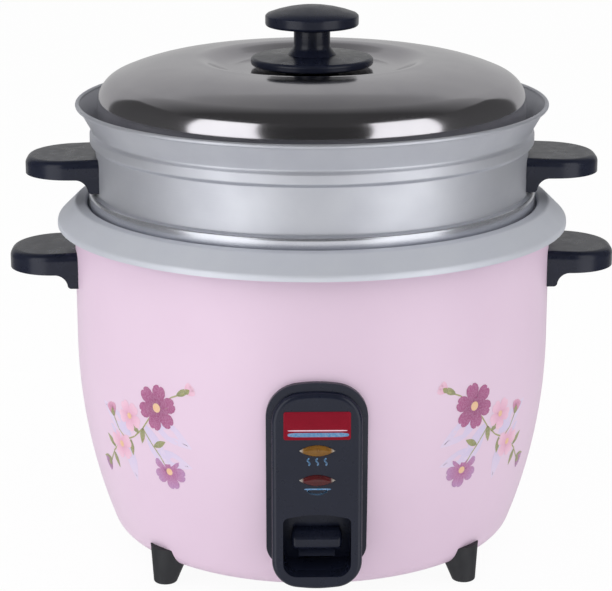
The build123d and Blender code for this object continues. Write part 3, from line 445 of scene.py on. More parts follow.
FINISHES: dict[str, Finish] = {
    "pink_enamel": Enamel(paint(229, 205, 225), paint(226, 201, 222), 0.42),
    "polished_lid_steel": TurnedMetal(paint(188, 186, 190), paint(180, 178, 183), 0.13, 0.35, 0.001, 0.03),
    "steamer_aluminium": TurnedMetal(
        paint(203, 205, 212), paint(196, 198, 206), 0.5, 0.6, 0.003, 0.05, 0.82, 197.0
    ),
    "pot_aluminium": TurnedMetal(paint(216, 219, 227), paint(211, 214, 223), 0.6, 0.45, 0.002, 0.04, 0.56),
    "black_plastic": Moulding(paint(26, 30, 46), paint(24, 28, 44), 0.3, 0.35, 0.0003, 0.08, 0.27),
    "foot_rubber": Moulding(paint(30, 31, 36), paint(24, 25, 30), 0.6, 0.5, 0.012),
    "badge_enamel": Moulding(paint(138, 11, 36), paint(128, 9, 33), 0.4, 0.9, 0.002, 0.0, 0.12),
    "amber_lens": ClearMoulding(paint(136, 94, 24), paint(122, 80, 18), 0.25, 0.15),
    "red_lens": ClearMoulding(paint(88, 22, 26), paint(74, 16, 20), 0.25, 0.15),
    "lamp_glass": ClearMoulding(paint(240, 226, 206), paint(232, 214, 190), 0.06, 0.9, 1.5),
    "zinc_steel": SheetMetal(paint(186, 188, 190), paint(168, 170, 170), 0.36, 7.0),
    "screw_steel": SheetMetal(paint(196, 196, 200), paint(176, 176, 178), 0.26, 1.2, 0.004),
    "plate_casting": TurnedMetal(paint(180, 182, 186), paint(164, 166, 168), 0.42, 0.8, 0.02),
    "heater_sheath": SheetMetal(paint(110, 104, 100), paint(84, 78, 76), 0.5, 3.0, 0.02),
    "white_insulator": Moulding(paint(228, 225, 218), paint(216, 212, 202), 0.35, 0.8, 0.006),
    "dark_ferrite": SheetMetal(paint(66, 66, 70), paint(52, 52, 54), 0.6, 1.5, 0.03, 0.3),
    "spring_steel": SheetMetal(paint(190, 190, 192), paint(160, 160, 162), 0.3, 1.0, 0.004),
    "brass_blade": SheetMetal(paint(214, 184, 112), paint(190, 156, 84), 0.3, 2.0, 0.005),
    "switch_moulding": Moulding(paint(82, 58, 48), paint(68, 46, 38), 0.5),
    "red_wire": Moulding(paint(168, 36, 36), paint(148, 28, 28), 0.5),
    "blue_wire": Moulding(paint(54, 88, 164), paint(44, 72, 144), 0.5),
    "white_wire": Moulding(paint(222, 220, 212), paint(206, 202, 192), 0.55),
    "green_wire": Moulding(paint(72, 150, 60), paint(60, 128, 48), 0.5),
}
INK = PrintedInk(paint(255, 255, 255), paint(236, 214, 230), 0.4)


class Wardrobe:
    """The finishes as materials, one for each slot of the record."""

    def __init__(self) -> None:
        """Make every material and dress the solids that carry it."""
        self.materials = {slot: finish.make(slot) for slot, finish in FINISHES.items()}
        self.ink = INK.make("printed_ink")
        for part in frame["record"]["subparts"]:
            self.put_on(frame["nodes"][part["node"]], part["material_slot"])

    def put_on(self, piece: Piece, slot: str) -> None:
        """Give a piece one finish all over.

        Args:
            piece: the object to dress.
            slot: name of the record's material slot.
        """
        piece.data.materials.clear()
        piece.data.materials.append(self.materials[slot])

    def mount(self, piece: Piece, slot: str, body: str, *nodes: str) -> None:
        """Dress a new piece, let it ride on a body and stand for solids.

        Args:
            piece: the finished piece.
            slot: name of the record's material slot.
            body: name of the body that carries it.
            nodes: solids that it replaces.
        """
        self.put_on(piece, slot)
        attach(piece, body)
        if nodes:
            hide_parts(*nodes)
        log.info("%s: %d faces on %s", piece.name, len(piece.data.polygons), body)

    def print_on(self, film: Piece, slot: str, body: str) -> None:
        """Mount a printed film, in the ink's own colours.

        Args:
            film: the film.
            slot: material slot of the surface that it is printed on.
            body: name of the body that carries it.
        """
        self.mount(film, slot, body)
        film.data.materials[0] = self.ink


class Side(Enum):
    """The side of a traced outline that shows, looking along it."""

    LEFT = 1
    RIGHT = -1


class Combine(Enum):
    """What a shape does to the piece that it meets."""

    CUT = "DIFFERENCE"
    FUSE = "UNION"


def arc(centre: Point, radius: float, start: float, sweep: float) -> list[Vector]:
    """Points along a circular arc.

    Args:
        centre: the arc's centre.
        radius: its radius.
        start: angle of the first point in degrees.
        sweep: angle that it covers, against the clock where positive.

    Returns:
        Points at steps of a few degrees, and a few millimetres on a large arc.
    """
    run = math.radians(abs(sweep)) * radius
    count = max(2, math.ceil(abs(sweep) / ARC_DEGREES), math.ceil(run / ARC_LENGTH))
    angles = [math.radians(start + sweep * i / count) for i in range(count + 1)]
    return [Vector(centre) + radius * Vector((math.cos(a), math.sin(a))) for a in angles]


def rounded(corners: Sequence[Point | Vector], bends: Sequence[float]) -> list[Vector]:
    """Outline through corners, each rounded by an arc that touches both its sides.

    Args:
        corners: the outline's corners in order; the first and last stay sharp.
        bends: radius at each corner between those, 0 where it stays sharp too.

    Returns:
        Points of the outline, with one more just past each arc to keep flats flat.
    """
    places = [Vector(corner) for corner in corners]
    points = places[:1]
    for before, here, after, radius in zip(places, places[1:], places[2:], bends):
        if radius == 0:
            points.append(here)
            continue
        come, leave = (here - before).normalized(), (after - here).normalized()
        turn = math.atan2(come.x * leave.y - come.y * leave.x, come.dot(leave))
        run = radius * math.tan(abs(turn) / 2)
        side = Vector((-come.y, come.x)) * math.copysign(1, turn)
        start, end = here - come * run, here + leave * run
        centre = start + side * radius
        away = start - centre
        ease = min(EASE, run * EASE_SHARE)
        if (start - points[-1]).length > EASE_ROOM * ease:
            points.append(start - come * ease)
        points += arc(centre, radius, math.degrees(math.atan2(away.y, away.x)), math.degrees(turn))
        if (after - end).length > EASE_ROOM * ease:
            points.append(end + leave * ease)
    return points + places[-1:]


class Bench:
    """Modelling steps in Blender's own operators, shared by the pieces."""

    @staticmethod
    def clear() -> None:
        """Leave edit mode and deselect everything."""
        if bpy.context.mode != "OBJECT":
            bpy.ops.object.mode_set(mode="OBJECT")
        bpy.ops.object.select_all(action="DESELECT")

    @staticmethod
    def pick(piece: Piece) -> None:
        """Make a piece the only selected and active object."""
        Bench.clear()
        piece.select_set(True)
        bpy.context.view_layer.objects.active = piece

    @staticmethod
    def trace(name: str, points: Sequence[Vector], closed: bool = False) -> Piece:
        """Draw a chain of edges in edit mode, from a plane merged to one vertex.

        Args:
            name: the new object's name.
            points: the chain in metres.
            closed: whether the last point joins the first.

        Returns:
            The new object, left in edit mode with all selected.
        """
        Bench.clear()
        bpy.ops.mesh.primitive_plane_add(size=MM)
        piece = bpy.context.object
        piece.name = piece.data.name = name
        bpy.ops.object.mode_set(mode="EDIT")
        bpy.ops.mesh.select_all(action="SELECT")
        bpy.ops.mesh.merge(type="CENTER")
        bpy.ops.transform.translate(value=points[0])
        for here, there in zip(points, points[1:]):
            bpy.ops.mesh.extrude_vertices_move(TRANSFORM_OT_translate={"value": there - here})
        if closed:
            mesh = bmesh.from_edit_mesh(piece.data)
            for vertex in mesh.verts:
                vertex.select_set(len(vertex.link_edges) == 1)
            mesh.select_flush_mode()
            bmesh.update_edit_mesh(piece.data)
            bpy.ops.mesh.edge_face_add()
        bpy.ops.mesh.select_all(action="SELECT")
        return piece

    @staticmethod
    def outwards() -> None:
        """Turn all faces of the piece in edit mode outwards."""
        bpy.ops.mesh.select_all(action="SELECT")
        bpy.ops.mesh.normals_make_consistent(inside=False)

    @staticmethod
    def flip(piece: Piece) -> None:
        """Turn all faces of a piece round."""
        Bench.pick(piece)
        bpy.ops.object.mode_set(mode="EDIT")
        bpy.ops.mesh.select_all(action="SELECT")
        bpy.ops.mesh.flip_normals()
        bpy.ops.object.mode_set(mode="OBJECT")

    @staticmethod
    def lathe(name: str, outline: Sequence[Vector], shown: Side | None = None, steps: int = 192) -> Piece:
        """Spin an outline round the axis.

        Args:
            name: the new object's name.
            outline: points as distance out and height, in millimetres.
            shown: side of an open outline that shows; a closed outline has none.
            steps: facets round the axis.

        Returns:
            The turned shell, faces outwards or on the shown side.
        """
        points = [Vector((p.x * MM, 0, p.y * MM)) for p in outline]
        piece = Bench.trace(name, points, closed=shown is None and outline[0].x > 0)
        round_axis = {"angle": math.tau, "center": (0, 0, 0), "axis": (0, 0, 1)}
        bpy.ops.mesh.spin(steps=steps, use_auto_merge=True, **round_axis)
        bpy.ops.mesh.select_all(action="SELECT")
        bpy.ops.mesh.remove_doubles(threshold=SAME_PLACE)
        Bench.outwards()
        bpy.ops.object.mode_set(mode="OBJECT")
        if shown and not Bench.shows(piece, points, shown):
            Bench.flip(piece)
        return piece

    @staticmethod
    def shows(piece: Piece, points: Sequence[Vector], shown: Side) -> bool:
        """Whether a spun shell's faces look to the shown side.

        Args:
            piece: the spun shell.
            points: its outline in metres.
            shown: the side that should show.

        Returns:
            True where the face on the outline's longest run looks that way.
        """
        here, there = max(zip(points, points[1:]), key=lambda pair: (pair[1] - pair[0]).length)
        along, middle = there - here, (here + there) / 2
        face = min(piece.data.polygons, key=lambda polygon: (polygon.center - middle).length)
        return face.normal.dot(Vector((-along.z, 0, along.x)) * shown.value) > 0

    @staticmethod
    def apply(piece: Piece, kind: str, **settings: object) -> None:
        """Add a modifier and apply it.

        Args:
            piece: the piece to change.
            kind: Blender's modifier type.
            settings: the modifier's properties.
        """
        Bench.pick(piece)
        modifier = piece.modifiers.new(kind.lower(), kind)
        for key, value in settings.items():
            setattr(modifier, key, value)
        bpy.ops.object.modifier_apply(modifier=modifier.name)

    @staticmethod
    def thicken(piece: Piece, sheet: float) -> None:
        """Give a shell its sheet thickness behind the face that shows.

        Args:
            piece: the shell.
            sheet: thickness in millimetres.
        """
        Bench.apply(piece, "SOLIDIFY", thickness=sheet * MM, offset=-1.0, use_quality_normals=True)

    @staticmethod
    def smooth(piece: Piece, angle: float = 32.0) -> None:
        """Shade a piece smooth up to an angle between faces.

        Args:
            piece: the piece to shade.
            angle: largest smooth angle in degrees.
        """
        Bench.pick(piece)
        bpy.ops.object.shade_smooth_by_angle(angle=math.radians(angle))

    @staticmethod
    def block(low: Sequence[float], high: Sequence[float]) -> Piece:
        """Plain box, to cut with or to fuse on.

        Args:
            low: lowest corner in millimetres.
            high: highest corner in millimetres.

        Returns:
            The box, at the origin with its place in its mesh.
        """
        Bench.clear()
        middle = [(a + b) / 2 * MM for a, b in zip(low, high)]
        bpy.ops.mesh.primitive_cube_add(size=1, location=middle)
        bpy.context.object.scale = [(b - a) * MM for a, b in zip(low, high)]
        bpy.ops.object.transform_apply(location=True, rotation=True, scale=True)
        return bpy.context.object

    @staticmethod
    def join(name: str, pieces: Iterable[Piece]) -> Piece:
        """Join pieces into one mesh.

        Args:
            name: name of the result.
            pieces: what is joined.

        Returns:
            The joined object.
        """
        Bench.clear()
        listed = list(pieces)
        for piece in listed:
            piece.select_set(True)
        bpy.context.view_layer.objects.active = listed[0]
        bpy.ops.object.join()
        listed[0].name = listed[0].data.name = name
        return listed[0]

    @staticmethod
    def combine(piece: Piece, other: Piece, how: Combine) -> None:
        """Cut a shape out of a piece or fuse it on, and throw the shape away.

        Args:
            piece: the piece to change.
            other: the shape.
            how: whether it is taken out or added.
        """
        Bench.apply(piece, "BOOLEAN", operation=how.value, solver="EXACT", object=other)
        bpy.data.objects.remove(other)


@dataclass
class Casing:
    """Pink drum: straight side, gentle inward sweep, rounded lower corner and turned edges."""

    radius: float = 127.0
    top: float = 183.5
    sheet: float = 0.8
    flange: float = 121.0
    flange_bend: float = 2.5
    sweep_start: float = 116.5
    sweep_radius: float = 288.0
    taper: float = 20.0
    corner_radius: float = 12.0
    bottom: float = 9.5
    lip: float = 90.0
    lever_slot: Block = ((-8.8, -140.0, 29.8), (8.8, -95.0, 43.2))
    lamp_window: Block = ((-12.0, -140.0, 70.2), (12.0, -110.0, 100.2))
    inlet_hole: Block = ((-16.5, 95.0, 18.6), (16.5, 140.0, 38.8))

    def outline(self) -> list[Vector]:
        """Outer face from the top flange to the bottom lip."""
        lean = math.radians(self.taper)
        knee = self.sweep_start - self.sweep_radius * math.tan(lean / 2)
        toe = self.radius - (knee - self.bottom) * math.tan(lean)
        corners = (
            (self.flange, self.top),
            (self.radius, self.top),
            (self.radius, knee),
            (toe, self.bottom),
            (self.lip, self.bottom),
        )
        return rounded(corners, (self.flange_bend, self.sweep_radius, self.corner_radius))

    def radius_at(self, height: float) -> float:
        """Outer radius at a height on the straight side or the sweep."""
        drop = max(0.0, self.sweep_start - height)
        return self.radius - self.sweep_radius + math.sqrt(self.sweep_radius**2 - drop**2)

    def build(self, wardrobe: Wardrobe) -> Piece:
        """Turn the shell and open it for the lever, the lamps and the inlet.

        Args:
            wardrobe: the finishes.

        Returns:
            The casing.
        """
        shell = Bench.lathe("casing_shell", self.outline(), Side.LEFT)
        Bench.thicken(shell, self.sheet)
        openings = [Bench.block(*block) for block in (self.lever_slot, self.lamp_window, self.inlet_hole)]
        Bench.combine(shell, Bench.join("casing_openings", openings), Combine.CUT)
        Bench.smooth(shell)
        wardrobe.mount(shell, "pink_enamel", "base", "outer_casing")
        return shell


@dataclass
class Pot:
    """Inner pot with its wide brim, turned down at the edge."""

    sheet: float = 1.2
    radius: float = 113.8
    floor: float = 58.5
    seat: float = 187.0
    crest: float = 191.2
    crest_outer: float = 126.4
    crest_inner: float = 120.3
    seat_outer: float = 120.0
    edge: float = 135.9
    edge_top: float = 181.8
    edge_low: float = 179.2
    bends: tuple[float, ...] = (2.6, 2.4, 1.5, 1.2, 1.8, 18.0)

    def outline(self) -> list[Vector]:
        """Face that shows, from the brim's lower edge over its crest to the floor's middle."""
        corners = (
            (self.edge, self.edge_low),
            (self.edge, self.edge_top),
            (self.crest_outer, self.crest),
            (self.crest_inner, self.crest),
            (self.seat_outer, self.seat),
            (self.radius, self.seat),
            (self.radius, self.floor),
            (0, self.floor),
        )
        return rounded(corners, self.bends)

    def build(self, wardrobe: Wardrobe) -> None:
        """Turn the pot.

        Args:
            wardrobe: the finishes.
        """
        shell = Bench.lathe("pot_shell", self.outline(), Side.RIGHT)
        Bench.thicken(shell, self.sheet)
        Bench.smooth(shell)
        wardrobe.mount(shell, "pot_aluminium", "pot", "inner_pot")


@dataclass
class SteamerTray:
    """Steamer tray: rolled lip, ledge band, wall, foot bead, skirt and pierced floor."""

    sheet: float = 1.0
    lip_centre: Point = (123.9, 242.7)
    lip_radius: float = 1.2
    lip_start: float = 176.0
    lip_sweep: float = -294.0
    neck: Point = (116.4, 229.2)
    ledge: float = 117.9
    ledge_top: float = 227.6
    ledge_low: float = 222.7
    wall: float = 115.0
    wall_top: float = 220.9
    wall_low: float = 197.0
    foot: float = 118.9
    foot_top: float = 196.6
    seat: float = 187.4
    skirt: float = 112.2
    floor: float = 170.0
    bends: tuple[float, ...] = (1.2, 1.4, 1.4, 1.2, 0.8, 1.8, 1.4, 1.2, 8.0)
    hole: float = 2.6
    hole_facets: int = 20
    punch_depth: float = 8.0
    rings: tuple[int, ...] = (6, 12, 18, 24)
    ring_step: float = 20.0

    def outline(self) -> list[Vector]:
        """Outer face from inside the rolled lip to the hole in the floor's middle."""
        roll = arc(self.lip_centre, self.lip_radius, self.lip_start, self.lip_sweep)
        corners = (
            roll[-1],
            self.neck,
            (self.ledge, self.ledge_top),
            (self.ledge, self.ledge_low),
            (self.wall, self.wall_top),
            (self.wall, self.wall_low),
            (self.foot, self.foot_top),
            (self.foot, self.seat),
            (self.skirt, self.seat),
            (self.skirt, self.floor),
            (self.hole, self.floor),
        )
        return roll[:-1] + rounded(corners, self.bends)

    def punches(self) -> Piece:
        """Rings of round punches for the floor's steam holes, added to an emptied mesh."""
        Bench.clear()
        size = {"vertices": self.hole_facets, "radius": self.hole * MM, "depth": self.punch_depth * MM}
        bpy.ops.mesh.primitive_cylinder_add(**size)
        punch = bpy.context.object
        bpy.ops.object.mode_set(mode="EDIT")
        bpy.ops.mesh.delete(type="VERT")
        for number, count in enumerate(self.rings, start=1):
            out = number * self.ring_step * MM
            for i in range(count):
                turn = math.tau * i / count
                where = (out * math.cos(turn), out * math.sin(turn), self.floor * MM)
                bpy.ops.mesh.primitive_cylinder_add(location=where, **size)
        bpy.ops.object.mode_set(mode="OBJECT")
        return punch

    def build(self, wardrobe: Wardrobe) -> None:
        """Turn the tray and pierce its floor.

        Args:
            wardrobe: the finishes.
        """
        shell = Bench.lathe("steamer_shell", self.outline(), Side.LEFT)
        Bench.thicken(shell, self.sheet)
        Bench.combine(shell, self.punches(), Combine.CUT)
        Bench.smooth(shell)
        wardrobe.mount(shell, "steamer_aluminium", "steamer", "steamer_tray")


@dataclass
class Lid:
    """Polished lid with a dished middle, and the knob and skirt disc that stand in the dish."""

    sheet: float = 0.8
    radius: float = 113.6
    crown: float = 260.4
    hole: float = 2.6
    dish: Point = (46.5, 260.4)
    crest: Point = (58.0, 265.8)
    shoulder: Point = (86.7, 264.6)
    side_top: float = 253.0
    flange: float = 115.0
    flange_height: float = 223.4
    shell_bends: tuple[float, ...] = (20.0, 14.0, 97.0, 16.0, 1.2)
    shell_facets: int = 240
    knob_top: float = 293.3
    crown_radius: float = 65.5
    crown_sweep: float = 21.1
    cap_radius: float = 24.6
    cap_top: float = 287.9
    cap_low: float = 282.6
    neck: float = 9.6
    neck_top: float = 280.8
    neck_low: float = 271.4
    foot: float = 267.4
    foot_radius: float = 13.0
    knob_bends: tuple[float, ...] = (1.0, 1.6, 1.0, 5.0, 0.0)
    knob_facets: int = 128
    skirt: float = 32.3
    skirt_top: float = 266.2
    skirt_low: float = 262.0
    boss: float = 13.2
    hub: float = 14.0
    skirt_bends: tuple[float, ...] = (2.0, 1.8, 1.4, 0.0, 0.0)

    def shell_outline(self) -> list[Vector]:
        """Upper face from the screw hole to the flange."""
        corners = (
            (self.hole, self.crown),
            self.dish,
            self.crest,
            self.shoulder,
            (self.radius, self.side_top),
            (self.radius, self.flange_height),
            (self.flange, self.flange_height),
        )
        return rounded(corners, self.shell_bends)

    def knob_outline(self) -> list[Vector]:
        """Knob from the middle of its domed cap to the middle of its foot."""
        dome = arc((0, self.knob_top - self.crown_radius), self.crown_radius, 90, -self.crown_sweep)
        corners = (
            dome[-1],
            (self.cap_radius, self.cap_top),
            (self.cap_radius, self.cap_low),
            (self.neck, self.neck_top),
            (self.neck, self.neck_low),
            (self.foot_radius, self.foot),
            (0, self.foot),
        )
        return dome[:-1] + rounded(corners, self.knob_bends)

    def skirt_outline(self) -> list[Vector]:
        """Skirt disc, closed round its screw hole."""
        corners = (
            (self.hole, self.foot),
            (self.boss, self.foot),
            (self.skirt, self.skirt_top),
            (self.skirt, self.skirt_low),
            (self.hub, self.skirt_low),
            (self.hub, self.crown),
            (self.hole, self.crown),
        )
        return rounded(corners, self.skirt_bends)

    def build(self, wardrobe: Wardrobe) -> None:
        """Turn the lid, its knob and the skirt.

        Args:
            wardrobe: the finishes.
        """
        shell = Bench.lathe("lid_dome", self.shell_outline(), Side.LEFT, self.shell_facets)
        Bench.thicken(shell, self.sheet)
        Bench.smooth(shell)
        wardrobe.mount(shell, "polished_lid_steel", "lid", "lid_shell")
        for name, outline, node in (
            ("knob_grip", self.knob_outline(), "lid_knob"),
            ("knob_skirt_disc", self.skirt_outline(), "knob_skirt"),
        ):
            turned = Bench.lathe(name, outline, None, self.knob_facets)
            Bench.smooth(turned)
            wardrobe.mount(turned, "black_plastic", "lid", node)


@dataclass
class PanelTrim:
    """Small pieces set in the panel's front: two pilot lenses and the badge plate."""

    front: float = 133.0
    lens_width: float = 17.7
    lens_tall: float = 5.7
    lens_root: float = 130.6
    lens_dome: tuple[Point, ...] = ((0.35, 0.4), (0.6, 0.3), (0.8, 0.2), (0.8, 0.08))
    lens_smooth: float = 45.0
    lenses: tuple[tuple[str, str, float], ...] = (
        ("warm_lens", "amber_lens", 92.9),
        ("cook_lens", "red_lens", 77.5),
    )
    badge_size: Point = (33.0, 14.4)
    badge_corner: float = 1.2
    badge_height: float = 105.8
    badge_root: float = 132.5
    badge_rim: tuple[Point, ...] = ((0.25, 0.12), (0.45, 0.0), (0.2, -0.16))
    proud: float = 0.3

    def lens_outline(self, height: float) -> list[Vector]:
        """Pointed oval between two arcs, as distance across and height.

        Args:
            height: height of its middle.

        Returns:
            Points against the clock, starting at the right tip.
        """
        half, rise = self.lens_width / 2, self.lens_tall / 2
        radius = (half * half + rise * rise) / (2 * rise)
        reach = math.degrees(math.asin(half / radius))
        upper = arc((0, height + rise - radius), radius, 90 - reach, 2 * reach)
        lower = arc((0, height - rise + radius), radius, 270 - reach, 2 * reach)
        return upper[:-1] + lower[:-1]

    def badge_outline(self) -> list[Vector]:
        """Rounded rectangle of the badge plate, as distance across and height."""
        half, rise = self.badge_size[0] / 2 - self.badge_corner, self.badge_size[1] / 2 - self.badge_corner
        middles = ((half, rise), (-half, rise), (-half, -rise), (half, -rise))
        points = []
        for quarter, (across, up) in enumerate(middles):
            points += arc((across, self.badge_height + up), self.badge_corner, 90 * quarter, 90)
        return points

    def plate(self, name: str, outline: Sequence[Vector], root: float, steps: Sequence[Point]) -> Piece:
        """Solid plate with a stepped or domed front.

        Args:
            name: the new object's name.
            outline: its outline, as distance across and height.
            root: distance of its back from the axis.
            steps: how far the front face draws in, each with how far it moves forwards.

        Returns:
            The plate.
        """
        chain = [Vector((point.x * MM, -root * MM, point.y * MM)) for point in outline]
        piece = Bench.trace(name, chain, closed=True)
        bpy.ops.mesh.edge_face_add()
        rise = Vector((0, (root - self.front - self.proud) * MM, 0))
        bpy.ops.mesh.extrude_region_move(TRANSFORM_OT_translate={"value": rise})
        heights = [point.y for point in outline]
        middle = (0, 0, (max(heights) + min(heights)) / 2 * MM)
        half, tall = max(point.x for point in outline), (max(heights) - min(heights)) / 2
        for width, forwards in steps:
            move = {"value": (0, -forwards * MM, 0)}
            bpy.ops.mesh.extrude_region_move(TRANSFORM_OT_translate=move)
            shrink = (1 - width / half, 1, 1 - width / tall)
            bpy.ops.transform.resize(value=shrink, center_override=middle)
            half, tall = half - width, tall - width
        Bench.outwards()
        bpy.ops.object.mode_set(mode="OBJECT")
        return piece

    def build(self, wardrobe: Wardrobe) -> None:
        """Shape and mount the lenses and the badge.

        Args:
            wardrobe: the finishes.
        """
        for node, slot, height in self.lenses:
            lens = self.plate(f"{node}_dome", self.lens_outline(height), self.lens_root, self.lens_dome)
            Bench.smooth(lens, self.lens_smooth)
            wardrobe.mount(lens, slot, "base", node)
        badge = self.plate("badge_field", self.badge_outline(), self.badge_root, self.badge_rim)
        Bench.smooth(badge)
        wardrobe.mount(badge, "badge_enamel", "base", "badge_plate")


@dataclass
class LeverKey:
    """Key of the cook lever: a finger bar with rounded ends, a dust skirt, and a stem in the slot."""

    half_width: float = 12.7
    section: tuple[Point, ...] = (
        (-120.8, 38.4),
        (-127.2, 38.4),
        (-127.2, 44.6),
        (-124.0, 47.8),
        (-121.7, 48.8),
    )
    section_bends: tuple[float, ...] = (2.6, 2.6, 2.4)
    end_middle: Point = (-124.0, 43.4)
    half_deep: float = 3.2
    end_radius: float = 2.2
    end_steps: int = 6
    end_facing: float = 0.9
    skirt: tuple[Point, ...] = ((-120.8, 40.4), (-121.2, 40.4), (-126.0, 34.8), (-120.8, 34.8))
    skirt_half_width: float = 9.0
    stem: Block = ((-8.0, -122.0, 37.2), (8.0, -113.2, 42.2))
    stem_bevel: float = 0.4
    smooth_angle: float = 40.0

    @staticmethod
    def prism(name: str, outline: Sequence[Vector], half: float) -> Piece:
        """Draw a section out along X.

        Args:
            name: the new object's name.
            outline: the section, as place along Y and height.
            half: half of its length.

        Returns:
            The prism, left in edit mode.
        """
        chain = [Vector((-half * MM, point.x * MM, point.y * MM)) for point in outline]
        piece = Bench.trace(name, chain, closed=True)
        bpy.ops.mesh.edge_face_add()
        bpy.ops.mesh.extrude_region_move(TRANSFORM_OT_translate={"value": (2 * half * MM, 0, 0)})
        Bench.outwards()
        return piece

    def round_end(self, bar: Piece, way: int) -> None:
        """Draw one end out into a rounded cap.

        Args:
            bar: the bar, in edit mode.
            way: 1 for the right end, -1 for the left.
        """
        bpy.ops.mesh.select_all(action="DESELECT")
        mesh = bmesh.from_edit_mesh(bar.data)
        for face in mesh.faces:
            if face.normal.x * way > self.end_facing:
                face.select_set(True)
        bmesh.update_edit_mesh(bar.data)
        centre = (0, self.end_middle[0] * MM, self.end_middle[1] * MM)
        out, size = 0.0, 1.0
        for step in range(1, self.end_steps + 1):
            angle = math.radians(90 * step / self.end_steps)
            reach = self.end_radius * math.sin(angle)
            share = 1 - self.end_radius * (1 - math.cos(angle)) / self.half_deep
            move = {"value": (way * (reach - out) * MM, 0, 0)}
            bpy.ops.mesh.extrude_region_move(TRANSFORM_OT_translate=move)
            bpy.ops.transform.resize(value=(1, share / size, share / size), center_override=centre)
            out, size = reach, share

    def build(self, wardrobe: Wardrobe) -> None:
        """Shape and mount the key.

        Args:
            wardrobe: the finishes.
        """
        section = rounded(self.section, self.section_bends)
        bar = self.prism("lever_key_bar", section, self.half_width - self.end_radius)
        self.round_end(bar, 1)
        self.round_end(bar, -1)
        Bench.outwards()
        stem = Bench.block(*self.stem)
        Bench.apply(stem, "BEVEL", width=self.stem_bevel * MM, segments=2)
        flap = [Vector(corner) for corner in self.skirt]
        skirt = self.prism("lever_key_skirt", flap, self.skirt_half_width)
        for added in (stem, skirt):
            Bench.combine(bar, added, Combine.FUSE)
        Bench.smooth(bar, self.smooth_angle)
        wardrobe.mount(bar, "black_plastic", "lever", "lever_key")


class Ink(Enum):
    """Colours of the prints."""

    MAUVE = paint(168, 78, 132)
    PLUM = paint(140, 54, 108)
    ROSE = paint(222, 158, 188)
    BLUSH = paint(238, 196, 216)
    MIST = paint(224, 208, 231)
    LILAC = paint(178, 130, 180)
    HAZE = paint(206, 196, 228)
    OLIVE = paint(156, 158, 92)
    MOSS = paint(124, 132, 74)
    POLLEN = paint(232, 190, 140)
    SKY = paint(52, 128, 176)


Inks = tuple[Ink, Ink]


class Layer(IntEnum):
    """Order of the inks in a print, lowest first; the badge's stand on its proud plate."""

    GROUND = 0
    TWIG = 1
    PETAL = 2
    HEART = 3
    BADGE = 8


class Shape(Enum):
    """Half outlines of the stamps, base to tip, as share of width and share of length."""

    PETAL = (
        (0, 0), (0.15, 0.1), (0.3, 0.3), (0.44, 0.52), (0.5, 0.7),
        (0.44, 0.87), (0.28, 0.98), (0.1, 1), (0, 0.92),
    )
    LEAF = (
        (0, 0), (0.26, 0.12), (0.44, 0.3), (0.5, 0.46),
        (0.42, 0.64), (0.22, 0.84), (0.08, 0.95), (0, 1),
    )
    BAR = ((0, 0), (0.34, 0.02), (0.5, 0.12), (0.5, 0.5), (0.5, 0.88), (0.34, 0.98), (0, 1))
    DOT = ((0, 0), (0.25, 0.07), (0.43, 0.25), (0.5, 0.5), (0.43, 0.75), (0.25, 0.93), (0, 1))


